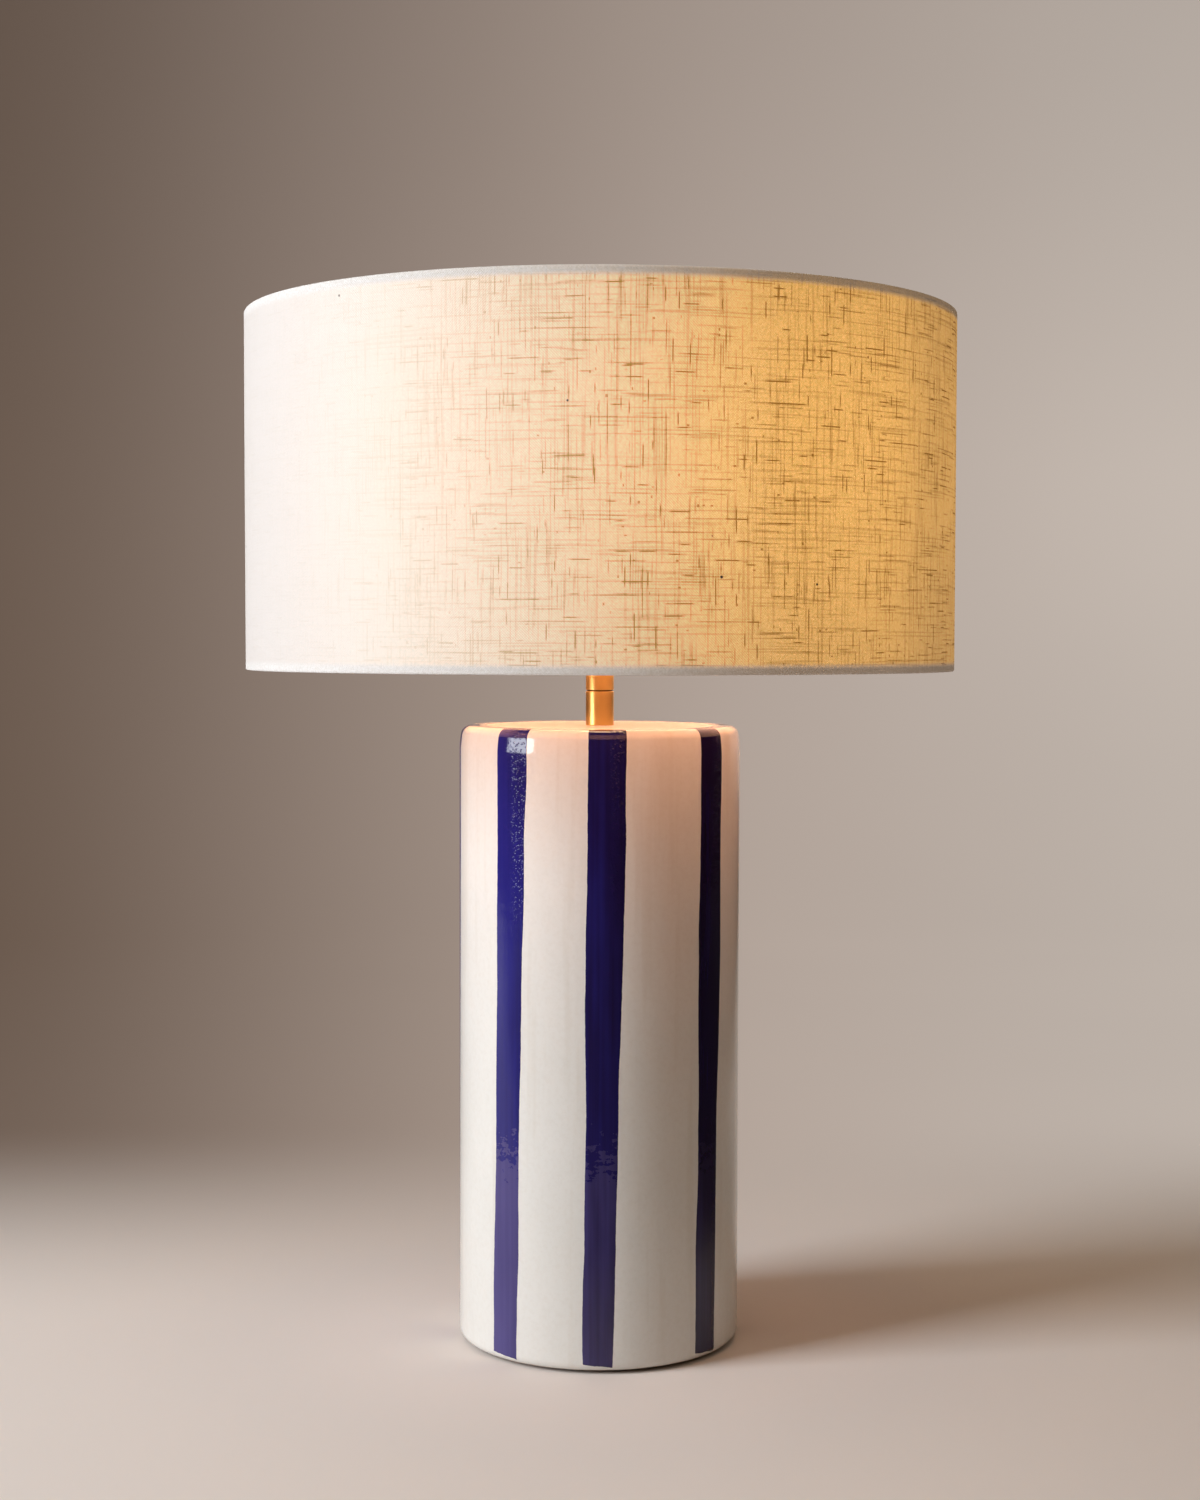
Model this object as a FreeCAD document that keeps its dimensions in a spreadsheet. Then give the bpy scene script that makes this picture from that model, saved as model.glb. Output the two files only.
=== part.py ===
"""Ceramic table lamp: a glazed cylinder body, a turned brass neck, an E27 holder and a fabric drum shade.

Millimetres, +Z up, +Y to the back. The origin is on the table, on the lamp's axis.
"""

import FreeCAD, Part
import math
import os
import Sketcher

SIZES = {
    # felt pad under the foot
    "felt_thick": 1.5,
    "felt_inset": 8.0,
    # slip-cast body
    "body_radius": 80.0,
    "body_height": 350.0,
    "body_wall": 6.0,
    "body_top_wall": 7.0,
    "body_floor": 7.0,
    "body_inner_bevel": 4.0,
    "foot_round": 5.0,
    "shoulder_round": 6.5,
    "access_radius": 45.0,
    # threaded tube that clamps the stack
    "stem_radius": 5.0,
    "stem_bore_radius": 3.9,
    "stem_below": 20.0,
    "stem_into_holder": 8.5,
    "stem_clearance": 0.3,
    "thread_clearance": 0.05,
    "casting_clearance": 0.9,
    # washers and nut under the top wall
    "gasket_radius": 18.0,
    "gasket_thick": 1.5,
    "washer_radius": 16.0,
    "washer_thick": 1.5,
    "lock_washer_radius": 8.6,
    "lock_washer_thick": 1.8,
    "lock_washer_gap_angle": 12.0,
    "nut_flats": 14.0,
    "nut_thick": 5.0,
    # turned brass neck
    "neck_radius": 8.0,
    "neck_lower_length": 19.3,
    "neck_upper_length": 24.4,
    "neck_edge": 0.4,
    "groove_height": 0.8,
    "groove_depth": 0.7,
    # bushing for the supply cord, at the back
    "cord_height": 22.0,
    "cord_bore_radius": 3.5,
    "gland_radius": 5.6,
    "gland_hole_clearance": 0.4,
    "gland_flange_radius": 8.5,
    "gland_flange_thick": 2.2,
    "gland_edge": 0.7,
    "gland_thread_length": 15.0,
    "gland_nut_flats": 16.0,
    "gland_nut_thick": 3.5,
    "curved_wall_relief": 0.7,
    # lampholder cap
    "boss_radius": 8.0,
    "boss_height": 6.0,
    "cap_radius": 19.5,
    "cap_height": 28.0,
    "cap_wall": 1.6,
    "cap_floor": 1.6,
    "cap_shoulder_height": 10.0,
    "cap_dome_radius": 11.5,
    "cap_ledge_width": 1.8,
    "cap_ledge_depth": 13.0,
    "grub_radius": 1.5,
    "grub_socket_flats": 1.5,
    "grub_socket_depth": 1.2,
    # insulating core of the lampholder
    "core_flange_thick": 5.0,
    "core_clearance": 0.3,
    "core_barrel_height": 8.5,
    "core_recess_radius": 9.5,
    "core_recess_depth": 6.0,
    "core_wire_hole_radius": 2.0,
    "terminal_spread": 10.5,
    "terminal_radius": 1.5,
    "terminal_length": 4.0,
    "terminal_head_radius": 2.8,
    "terminal_head_thick": 2.0,
    "terminal_slot": 0.8,
    "contact_strip_thick": 0.5,
    "contact_strip_width": 5.0,
    "contact_strip_reach": 7.5,
    "contact_tongue_half": 2.6,
    "contact_tongue_rise": 1.2,
    # lampholder skirt, with the flange that the shade sits on
    "flange_radius": 22.0,
    "flange_thick": 2.0,
    "skirt_radius": 19.3,
    "skirt_height": 22.0,
    "skirt_bore_radius": 15.2,
    "skirt_mouth_radius": 14.4,
    "skirt_mouth_thick": 1.5,
    # lamp cap and the shell that it screws into, at the crests of their round thread
    "lamp_thread_radius": 13.15,
    "lamp_thread_length": 14.5,
    "lamp_thread_clearance": 0.35,
    "screw_shell_wall": 0.5,
    # bulb
    "bulb_radius": 30.0,
    "bulb_length": 107.0,
    "bulb_cap_length": 27.0,
    "bulb_neck_radius": 13.2,
    "bulb_waist_radius": 38.0,
    "bulb_glass_wall": 1.0,
    "bulb_cap_wall": 0.6,
    "bulb_contact_radius": 4.5,
    "bulb_contact_thick": 1.5,
    "bulb_insulator_radius": 9.0,
    "bulb_insulator_height": 4.5,
    "contact_gap": 0.3,
    # threaded ring that holds the shade down
    "ring_flange_radius": 27.0,
    "ring_flange_thick": 1.8,
    "ring_collar_radius": 23.0,
    "ring_collar_height": 7.5,
    "ring_thread_clearance": 0.3,
    "ring_flute_radius": 1.4,
    # wire frame of the shade
    "fitter_radius": 29.0,
    "fitter_hole_radius": 20.6,
    "fitter_thick": 1.5,
    "fitter_height": 43.0,
    "arm_radius": 1.75,
    "arm_start_radius": 24.6,
    "arm_flat": 12.0,
    "arm_bend_radius": 14.0,
    "arm_foot": 6.0,
    "weld_gap": 0.1,
    "edge_wire_radius": 1.25,
    # shade
    "shade_radius": 200.0,
    "shade_height": 198.0,
    "fabric_thick": 0.6,
    "liner_thick": 0.4,
    "laminate_gap": 0.05,
    "hem_height": 5.4,
    "hem_play": 0.35,
    "hem_bevel": 0.8,
    "notch_play": 0.4,
}

BODY_LIP = "(Sizes.felt_thick)"
BODY_TOP = "(Sizes.felt_thick + Sizes.body_height)"
BODY_CEILING = f"({BODY_TOP} - Sizes.body_top_wall)"
NECK_JOINT = f"({BODY_TOP} + Sizes.neck_lower_length)"
HOLDER_SEAT = f"({NECK_JOINT} + Sizes.groove_height + Sizes.neck_upper_length)"
CAP_RIM = f"({HOLDER_SEAT} + Sizes.cap_height)"
CAP_LEDGE = f"({CAP_RIM} - Sizes.cap_ledge_depth)"
CAP_BORE = "(Sizes.cap_radius - Sizes.cap_wall)"
CORE_STEP = f"({CAP_LEDGE} + Sizes.core_flange_thick)"
CORE_TOP = f"({CORE_STEP} + Sizes.core_barrel_height)"
RECESS_FLOOR = f"({CORE_TOP} - Sizes.core_recess_depth)"
SHADE_SEAT = f"({CAP_RIM} + Sizes.flange_thick)"
SKIRT_TOP = f"({SHADE_SEAT} + Sizes.skirt_height)"
TONGUE_TOP = f"({RECESS_FLOOR} + Sizes.contact_strip_thick + Sizes.contact_tongue_rise)"
BULB_BASE = f"({TONGUE_TOP} + Sizes.contact_gap)"
BULB_CAP_BASE = f"({BULB_BASE} + Sizes.bulb_contact_thick + Sizes.bulb_insulator_height)"
BULB_CAP_TOP = f"({BULB_BASE} + Sizes.bulb_cap_length)"
SHADE_BASE = f"({SHADE_SEAT} - Sizes.fitter_height)"
SHADE_TOP = f"({SHADE_BASE} + Sizes.shade_height)"
EDGE_WIRE_INSET = "(Sizes.fabric_thick + Sizes.hem_play + Sizes.edge_wire_radius)"
EDGE_WIRE_RADIUS = f"(Sizes.shade_radius - {EDGE_WIRE_INSET})"
LINER_RADIUS = "(Sizes.shade_radius - Sizes.fabric_thick - Sizes.laminate_gap)"

WASHER_HOLE = "(Sizes.stem_radius + Sizes.stem_clearance)"
THREAD_HOLE = "(Sizes.stem_radius + Sizes.thread_clearance)"

FLUTES = 16
ARMS = 3
WIRE_FLATS = 6
FLAT_ANGLE = f"(360 deg / {WIRE_FLATS})"
NO_LENGTH = "0"

doc = FreeCAD.newDocument("ceramic_table_lamp")
sheet = doc.addObject("Spreadsheet::Sheet", "Sizes")
for row, (alias, size) in enumerate(SIZES.items(), start=1):
    sheet.set(f"A{row}", alias)
    sheet.set(f"B{row}", str(size))
    sheet.setAlias(f"B{row}", alias)
doc.recompute()


def value(expression):
    """The number that an expression gives at the sheet's present sizes."""
    result = sheet.evalExpression(expression)
    return float(getattr(result, "Value", result))


def origin_plane(body, role):
    """The body's own plane of that role, such as XZ_Plane."""
    return next(f for f in body.Origin.OriginFeatures if f.Role == role)


def new_body(label):
    """An empty body whose label names its file."""
    body = doc.addObject("PartDesign::Body", label)
    body.Label = label
    return body


def new_sketch(body, name, role="XZ_Plane"):
    """A sketch on one of the body's origin planes."""
    sketch = body.newObject("Sketcher::SketchObject", name)
    sketch.AttachmentSupport = [(origin_plane(body, role), "")]
    sketch.MapMode = "FlatFace"
    return sketch


def bulge_point(start, end, radius, side):
    """The middle of the arc from start to end that bulges to the right of its travel for side 1."""
    along = end - start
    half = along.Length / 2
    sagitta = radius - math.sqrt(max(radius**2 - half**2, 0))
    right = FreeCAD.Vector(along.y, -along.x, 0).normalize()
    return (start + end) / 2 + right * sagitta * side


def pin_point(sketch, geometry, position, across, up):
    """Bind one end of a line or arc to two expressions, measured from the origin."""
    point = sketch.getPoint(geometry, position)
    number = sketch.addConstraint(
        Sketcher.Constraint("DistanceX", -1, 1, geometry, position, point.x)
    )
    sketch.setExpression(f"Constraints[{number}]", across)
    number = sketch.addConstraint(
        Sketcher.Constraint("DistanceY", -1, 1, geometry, position, point.y)
    )
    sketch.setExpression(f"Constraints[{number}]", up)


def draw_outline(sketch, corners):
    """A closed outline through corners of (across, up), or (across, up, radius, side) where an arc leaves.

    Every entry is an expression, so the outline follows the sheet.
    """
    points = [FreeCAD.Vector(value(c[0]), value(c[1]), 0) for c in corners]
    ends = []
    for place, corner in enumerate(corners):
        start = points[place]
        end = points[(place + 1) % len(points)]
        if len(corner) == 4:
            middle = bulge_point(start, end, value(corner[2]), corner[3])
            geometry = sketch.addGeometry(Part.Arc(start, middle, end), False)
        else:
            geometry = sketch.addGeometry(Part.LineSegment(start, end), False)
        forward = (sketch.getPoint(geometry, 1) - start).Length < (
            sketch.getPoint(geometry, 2) - start
        ).Length
        ends.append((geometry, 1, 2) if forward else (geometry, 2, 1))
    for place, (geometry, first, last) in enumerate(ends):
        following, its_first, _ = ends[(place + 1) % len(ends)]
        sketch.addConstraint(
            Sketcher.Constraint("Coincident", geometry, last, following, its_first)
        )
    for (geometry, first, _), corner in zip(ends, corners):
        pin_point(sketch, geometry, first, corner[0], corner[1])
        if len(corner) == 4:
            number = sketch.addConstraint(
                Sketcher.Constraint("Radius", geometry, value(corner[2]))
            )
            sketch.setExpression(f"Constraints[{number}]", corner[2])


def draw_circle(sketch, across, up, radius):
    """A circle whose centre and radius are expressions."""
    centre = FreeCAD.Vector(value(across), value(up), 0)
    circle = Part.Circle(centre, FreeCAD.Vector(0, 0, 1), value(radius))
    geometry = sketch.addGeometry(circle, False)
    pin_point(sketch, geometry, 3, across, up)
    number = sketch.addConstraint(Sketcher.Constraint("Radius", geometry, value(radius)))
    sketch.setExpression(f"Constraints[{number}]", radius)


def volume_of(body):
    """The body's volume after a recompute."""
    doc.recompute()
    return body.Shape.Volume


def expect_less(body, before, feature):
    """Stop if a cut took nothing away."""
    if volume_of(body) >= before:
        raise RuntimeError(f"{feature.Name} cuts nothing from {body.Label}")


def turned(label, corners, angle=None):
    """A body made by turning an outline of (radius, height) corners about Z."""
    body = new_body(label)
    sketch = new_sketch(body, f"{label}_outline")
    draw_outline(sketch, corners)
    revolution = body.newObject("PartDesign::Revolution", f"{label}_turned")
    revolution.Profile = sketch
    revolution.ReferenceAxis = (sketch, ["V_Axis"])
    if angle is None:
        revolution.Angle = 360
    else:
        revolution.setExpression("Angle", angle)
    sketch.Visibility = False
    doc.recompute()
    return body


def backwards(corners):
    """The same open outline walked the other way, with each arc's data moved to its new first corner."""
    places = [corner[:2] for corner in corners]
    arcs = [corner[2:] for corner in corners]
    walked = [places[-1] + turned_over(arcs[-2])]
    for index in range(len(corners) - 2, 0, -1):
        walked.append(places[index] + turned_over(arcs[index - 1]))
    walked.append(places[0])
    return walked


def turned_over(arc):
    """An arc's radius with its bulge on the other side, or nothing for a straight line."""
    return (arc[0], -arc[1]) if arc else ()


def ring_corners(inner, outer, low, high):
    """Corners of a plain ring."""
    return [(inner, low), (outer, low), (outer, high), (inner, high)]


def pocket(body, name, sketch, depth, reverse=False):
    """Cut a sketch into the body by the depth that an expression gives."""
    before = volume_of(body)
    cut = body.newObject("PartDesign::Pocket", name)
    cut.Profile = sketch
    cut.Type = "Length"
    cut.setExpression("Length", depth)
    cut.Reversed = reverse
    expect_less(body, before, cut)
    return cut


def repeat_about_z(body, name, features, count):
    """Copies of features, evenly round Z."""
    pattern = body.newObject("PartDesign::PolarPattern", name)
    pattern.Originals = features
    pattern.Axis = (body.Origin.OriginFeatures[2], [""])
    pattern.Angle = 360
    pattern.Occurrences = count
    body.Tip = pattern
    doc.recompute()
    return pattern


def round_edges(body, name, radius, circles):
    """Fillet the circular edges nearest to the (radius, height) places that circles lists."""
    doc.recompute()
    base = body.Tip
    edges = base.Shape.Edges
    round_ones = [n for n, edge in enumerate(edges) if isinstance(edge.Curve, Part.Circle)]
    chosen = []
    for across, up in circles:
        misses = [
            abs(edges[n].Curve.Radius - value(across)) + abs(edges[n].Curve.Center.z - value(up))
            for n in round_ones
        ]
        nearest = round_ones[misses.index(min(misses))]
        chosen.append(f"Edge{nearest + 1}")
    fillet = body.newObject("PartDesign::Fillet", name)
    fillet.Base = (base, chosen)
    fillet.setExpression("Radius", radius)
    doc.recompute()
    return fillet


def stand_at(body, height):
    """Lift a body that was drawn from its own origin."""
    body.setExpression("Placement.Base.z", height)


def face_back(body, depth, height):
    """Turn a body so that its own +Z points to the back, and move its origin to that depth and height."""
    body.Placement = FreeCAD.Placement(
        FreeCAD.Vector(0, 0, 0), FreeCAD.Rotation(FreeCAD.Vector(1, 0, 0), -90)
    )
    body.setExpression("Placement.Base.y", depth)
    body.setExpression("Placement.Base.z", height)


def hexagon_plate(label, flats, thick, hole):
    """A hexagonal nut with a plain hole, from its own origin upwards."""
    body = new_body(label)
    prism = body.newObject("PartDesign::AdditivePrism", f"{label}_hexagon")
    prism.Polygon = 6
    prism.setExpression("Circumradius", f"{flats} / sqrt(3)")
    prism.setExpression("Height", thick)
    sketch = new_sketch(body, f"{label}_hole", "XY_Plane")
    draw_circle(sketch, NO_LENGTH, NO_LENGTH, hole)
    pocket(body, f"{label}_bore", sketch, thick, reverse=True)
    return body


def make_felt_pad():
    radius = "(Sizes.body_radius - Sizes.felt_inset)"
    return turned(
        "felt_pad",
        [
            (NO_LENGTH, NO_LENGTH),
            (radius, NO_LENGTH),
            (radius, "Sizes.felt_thick"),
            (NO_LENGTH, "Sizes.felt_thick"),
        ],
    )


def make_ceramic_body():
    """Slip-cast cylinder: a stem hole in the top wall, an access hole in the floor, a cord hole behind."""
    inner = "(Sizes.body_radius - Sizes.body_wall)"
    floor = f"({BODY_LIP} + Sizes.body_floor)"
    stem_hole = "(Sizes.stem_radius + Sizes.casting_clearance)"
    body = turned(
        "ceramic_body",
        [
            ("Sizes.access_radius", BODY_LIP),
            ("Sizes.body_radius", BODY_LIP),
            ("Sizes.body_radius", BODY_TOP),
            (stem_hole, BODY_TOP),
            (stem_hole, BODY_CEILING),
            (f"({inner} - Sizes.body_inner_bevel)", BODY_CEILING),
            (inner, f"({BODY_CEILING} - Sizes.body_inner_bevel)"),
            (inner, f"({floor} + Sizes.body_inner_bevel)"),
            (f"({inner} - Sizes.body_inner_bevel)", floor),
            ("Sizes.access_radius", floor),
        ],
    )
    round_edges(body, "shoulder_rounding", "Sizes.shoulder_round", [("Sizes.body_radius", BODY_TOP)])
    round_edges(body, "foot_rounding", "Sizes.foot_round", [("Sizes.body_radius", BODY_LIP)])
    sketch = new_sketch(body, "cord_hole_circle")
    draw_circle(
        sketch, NO_LENGTH, "Sizes.cord_height", "Sizes.gland_radius + Sizes.gland_hole_clearance"
    )
    pocket(body, "cord_hole", sketch, "Sizes.body_radius")
    return body


def make_stem_stack():
    """The threaded tube and what clamps it under the top wall."""
    low = f"({BODY_CEILING} - Sizes.stem_below)"
    high = f"({HOLDER_SEAT} + Sizes.stem_into_holder)"
    turned("threaded_tube", ring_corners("Sizes.stem_bore_radius", "Sizes.stem_radius", low, high))

    gasket_low = f"({BODY_CEILING} - Sizes.gasket_thick)"
    turned(
        "stem_gasket", ring_corners(WASHER_HOLE, "Sizes.gasket_radius", gasket_low, BODY_CEILING)
    )
    washer_low = f"({gasket_low} - Sizes.washer_thick)"
    turned("stem_washer", ring_corners(WASHER_HOLE, "Sizes.washer_radius", washer_low, gasket_low))
    lock_low = f"({washer_low} - Sizes.lock_washer_thick)"
    turned(
        "lock_washer",
        ring_corners(WASHER_HOLE, "Sizes.lock_washer_radius", lock_low, washer_low),
        angle="360 - Sizes.lock_washer_gap_angle",
    )
    nut = hexagon_plate("clamp_nut", "Sizes.nut_flats", "Sizes.nut_thick", THREAD_HOLE)
    stand_at(nut, f"{lock_low} - Sizes.nut_thick")


def make_neck():
    """Two turned brass pieces; the upper one's short spigot leaves the groove between them."""
    edge_radius = "(Sizes.neck_radius - Sizes.neck_edge)"
    turned(
        "neck_lower",
        [
            (WASHER_HOLE, BODY_TOP),
            ("Sizes.neck_radius", BODY_TOP),
            ("Sizes.neck_radius", f"{NECK_JOINT} - Sizes.neck_edge"),
            (edge_radius, NECK_JOINT),
            (WASHER_HOLE, NECK_JOINT),
        ],
    )
    spigot = "(Sizes.neck_radius - Sizes.groove_depth)"
    shoulder = f"({NECK_JOINT} + Sizes.groove_height)"
    turned(
        "neck_upper",
        [
            (WASHER_HOLE, NECK_JOINT),
            (spigot, NECK_JOINT),
            (spigot, shoulder),
            (edge_radius, shoulder),
            ("Sizes.neck_radius", f"{shoulder} + Sizes.neck_edge"),
            ("Sizes.neck_radius", HOLDER_SEAT),
            (WASHER_HOLE, HOLDER_SEAT),
        ],
    )


def make_cord_gland():
    """A threaded plastic bushing through the back wall, with its nut inside."""
    gland = turned(
        "cord_gland",
        [
            ("Sizes.cord_bore_radius", "-Sizes.gland_thread_length"),
            ("Sizes.gland_radius", "-Sizes.gland_thread_length"),
            ("Sizes.gland_radius", NO_LENGTH),
            ("Sizes.gland_flange_radius", NO_LENGTH),
            ("Sizes.gland_flange_radius", "Sizes.gland_flange_thick - Sizes.gland_edge"),
            ("Sizes.gland_flange_radius - Sizes.gland_edge", "Sizes.gland_flange_thick"),
            ("Sizes.cord_bore_radius", "Sizes.gland_flange_thick"),
        ],
    )
    face_back(gland, "Sizes.body_radius + Sizes.weld_gap", "Sizes.cord_height")
    nut = hexagon_plate(
        "gland_nut",
        "Sizes.gland_nut_flats",
        "Sizes.gland_nut_thick",
        "Sizes.gland_radius + Sizes.thread_clearance",
    )
    nut_back = "(Sizes.body_radius - Sizes.body_wall - Sizes.curved_wall_relief)"
    face_back(nut, f"{nut_back} - Sizes.gland_nut_thick", "Sizes.cord_height")


def make_holder_cap():
    """Domed cup that screws onto the threaded tube."""
    boss_top = f"({HOLDER_SEAT} + Sizes.boss_height)"
    dome_top = f"({boss_top} + Sizes.cap_shoulder_height)"
    inner_floor = f"({boss_top} + Sizes.cap_floor)"
    ledge_radius = f"({CAP_BORE} - Sizes.cap_ledge_width)"
    ledge_foot = f"({dome_top} - Sizes.cap_ledge_width)"
    cap = turned(
        "holder_cap",
        [
            (THREAD_HOLE, HOLDER_SEAT),
            ("Sizes.boss_radius", HOLDER_SEAT),
            ("Sizes.boss_radius", boss_top, "Sizes.cap_dome_radius", 1),
            ("Sizes.cap_radius", dome_top),
            ("Sizes.cap_radius", CAP_RIM),
            (CAP_BORE, CAP_RIM),
            (CAP_BORE, CAP_LEDGE),
            (ledge_radius, CAP_LEDGE),
            (ledge_radius, ledge_foot),
            ("Sizes.boss_radius", inner_floor),
            (THREAD_HOLE, inner_floor),
        ],
    )
    grub_height = f"({HOLDER_SEAT} + Sizes.boss_height / 2)"
    sketch = new_sketch(cap, "grub_hole_circle")
    draw_circle(sketch, NO_LENGTH, grub_height, "Sizes.grub_radius + Sizes.thread_clearance")
    pocket(cap, "grub_hole", sketch, "Sizes.boss_radius")

    length = "(Sizes.boss_radius - Sizes.stem_radius - Sizes.weld_gap)"
    grub = turned(
        "holder_grub_screw",
        [
            (NO_LENGTH, NO_LENGTH),
            ("Sizes.grub_radius", NO_LENGTH),
            ("Sizes.grub_radius", length),
            (NO_LENGTH, length),
        ],
    )
    before = volume_of(grub)
    socket = grub.newObject("PartDesign::SubtractivePrism", "grub_socket")
    socket.Polygon = 6
    socket.setExpression("Circumradius", "Sizes.grub_socket_flats / sqrt(3)")
    socket.setExpression("Height", "Sizes.grub_socket_depth")
    socket.AttachmentSupport = [(origin_plane(grub, "XY_Plane"), "")]
    socket.MapMode = "FlatFace"
    socket.setExpression("AttachmentOffset.Base.z", f"{length} - Sizes.grub_socket_depth")
    expect_less(grub, before, socket)
    face_back(grub, "Sizes.stem_radius + Sizes.weld_gap", grub_height)


def make_holder_core():
    """Ceramic core that carries the contacts, resting on the cap's ledge."""
    flange = f"({CAP_BORE} - Sizes.core_clearance)"
    barrel = "(Sizes.skirt_bore_radius - Sizes.core_clearance)"
    core = turned(
        "holder_core",
        [
            (NO_LENGTH, CAP_LEDGE),
            (flange, CAP_LEDGE),
            (flange, CORE_STEP),
            (barrel, CORE_STEP),
            (barrel, CORE_TOP),
            ("Sizes.core_recess_radius", CORE_TOP),
            ("Sizes.core_recess_radius", RECESS_FLOOR),
            (NO_LENGTH, RECESS_FLOOR),
        ],
    )
    core_thick = f"({RECESS_FLOOR} - {CAP_LEDGE})"
    for side, name in ((1, "right"), (-1, "left")):
        sketch = new_sketch(core, f"terminal_{name}_circle", "XY_Plane")
        sketch.setExpression("AttachmentOffset.Base.z", CAP_LEDGE)
        draw_circle(
            sketch,
            f"{side} * Sizes.terminal_spread",
            NO_LENGTH,
            "Sizes.terminal_radius + Sizes.thread_clearance",
        )
        pocket(core, f"terminal_hole_{name}", sketch, "Sizes.terminal_length", reverse=True)
    sketch = new_sketch(core, "wire_hole_circle", "XY_Plane")
    sketch.setExpression("AttachmentOffset.Base.z", CAP_LEDGE)
    draw_circle(
        sketch, NO_LENGTH, "Sizes.core_recess_radius / 2", "Sizes.core_wire_hole_radius"
    )
    pocket(core, "wire_hole", sketch, core_thick, reverse=True)
    return core


def make_terminal_screws():
    """Two cheese-head screws under the core, heads down."""
    body = new_body("terminal_screws")
    body.AllowCompound = True
    made = []
    for name, radius, low, high in (
        ("shank", "Sizes.terminal_radius", NO_LENGTH, "Sizes.terminal_length"),
        ("head", "Sizes.terminal_head_radius", "-Sizes.terminal_head_thick", NO_LENGTH),
    ):
        sketch = new_sketch(body, f"terminal_{name}_circle", "XY_Plane")
        sketch.setExpression("AttachmentOffset.Base.z", low)
        draw_circle(sketch, "Sizes.terminal_spread", NO_LENGTH, radius)
        pad = body.newObject("PartDesign::Pad", f"terminal_{name}")
        pad.Profile = sketch
        pad.setExpression("Length", f"{high} - ({low})")
        made.append(pad)
        doc.recompute()
    sketch = new_sketch(body, "terminal_slot_outline", "XY_Plane")
    sketch.setExpression("AttachmentOffset.Base.z", "-Sizes.terminal_head_thick")
    slot_left = "(Sizes.terminal_spread - Sizes.terminal_slot / 2)"
    slot_right = "(Sizes.terminal_spread + Sizes.terminal_slot / 2)"
    draw_outline(
        sketch,
        [
            (slot_left, "-Sizes.terminal_head_radius"),
            (slot_right, "-Sizes.terminal_head_radius"),
            (slot_right, "Sizes.terminal_head_radius"),
            (slot_left, "Sizes.terminal_head_radius"),
        ],
    )
    made.append(pocket(body, "terminal_slot", sketch, "Sizes.terminal_head_thick / 2", reverse=True))
    repeat_about_z(body, "terminal_pair", made, 2)
    stand_at(body, CAP_LEDGE)


def make_centre_contact():
    """Sprung brass strip: flat feet on the recess floor and a raised tongue under the bulb."""
    body = new_body("centre_contact")
    sketch = new_sketch(body, "centre_contact_outline")
    thick = "Sizes.contact_strip_thick"
    rise = "Sizes.contact_tongue_rise"
    reach = "Sizes.contact_strip_reach"
    half = "Sizes.contact_tongue_half"
    foot_end = f"({half} + {rise} + {thick})"
    draw_outline(
        sketch,
        [
            (f"-{reach}", NO_LENGTH),
            (f"-{foot_end}", NO_LENGTH),
            (f"-{half}", rise),
            (half, rise),
            (foot_end, NO_LENGTH),
            (reach, NO_LENGTH),
            (reach, thick),
            (foot_end, thick),
            (half, f"{rise} + {thick}"),
            (f"-{half}", f"{rise} + {thick}"),
            (f"-{foot_end}", thick),
            (f"-{reach}", thick),
        ],
    )
    pad = body.newObject("PartDesign::Pad", "centre_contact_strip")
    pad.Profile = sketch
    pad.setExpression("Length", "Sizes.contact_strip_width")
    pad.Midplane = True
    doc.recompute()
    stand_at(body, RECESS_FLOOR)


def make_holder_skirt():
    """Threaded sleeve with the flange that carries the shade."""
    spigot = f"({CAP_BORE} - Sizes.core_clearance)"
    mouth_low = f"({SKIRT_TOP} - Sizes.skirt_mouth_thick)"
    turned(
        "holder_skirt",
        [
            ("Sizes.skirt_bore_radius", CORE_STEP),
            (spigot, CORE_STEP),
            (spigot, CAP_RIM),
            ("Sizes.flange_radius", CAP_RIM),
            ("Sizes.flange_radius", SHADE_SEAT),
            ("Sizes.skirt_radius", SHADE_SEAT),
            ("Sizes.skirt_radius", SKIRT_TOP),
            ("Sizes.skirt_mouth_radius", SKIRT_TOP),
            ("Sizes.skirt_mouth_radius", mouth_low),
            ("Sizes.skirt_bore_radius", mouth_low),
        ],
    )


def make_screw_shell():
    """Brass shell that holds the bulb, standing on the core."""
    bore = "(Sizes.lamp_thread_radius + Sizes.lamp_thread_clearance)"
    outer = f"({bore} + Sizes.screw_shell_wall)"
    top = f"({BULB_CAP_BASE} + Sizes.lamp_thread_length)"
    turned("holder_screw_shell", ring_corners(bore, outer, CORE_TOP, top))


def make_bulb():
    """Opal bulb with its metal cap; it turns as one body."""
    contact_top = f"({BULB_BASE} + Sizes.bulb_contact_thick)"
    turned(
        "bulb_contact",
        [
            (NO_LENGTH, BULB_BASE),
            ("Sizes.bulb_contact_radius", BULB_BASE),
            ("Sizes.bulb_contact_radius", contact_top),
            (NO_LENGTH, contact_top),
        ],
    )
    turned(
        "bulb_insulator",
        [
            (NO_LENGTH, contact_top),
            ("Sizes.bulb_contact_radius", contact_top),
            ("Sizes.bulb_insulator_radius", BULB_CAP_BASE),
            (NO_LENGTH, BULB_CAP_BASE),
        ],
    )
    bore = "(Sizes.lamp_thread_radius - Sizes.bulb_cap_wall)"
    turned(
        "bulb_cap",
        ring_corners(bore, "Sizes.lamp_thread_radius", BULB_CAP_BASE, BULB_CAP_TOP),
    )
    make_bulb_envelope()


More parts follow.
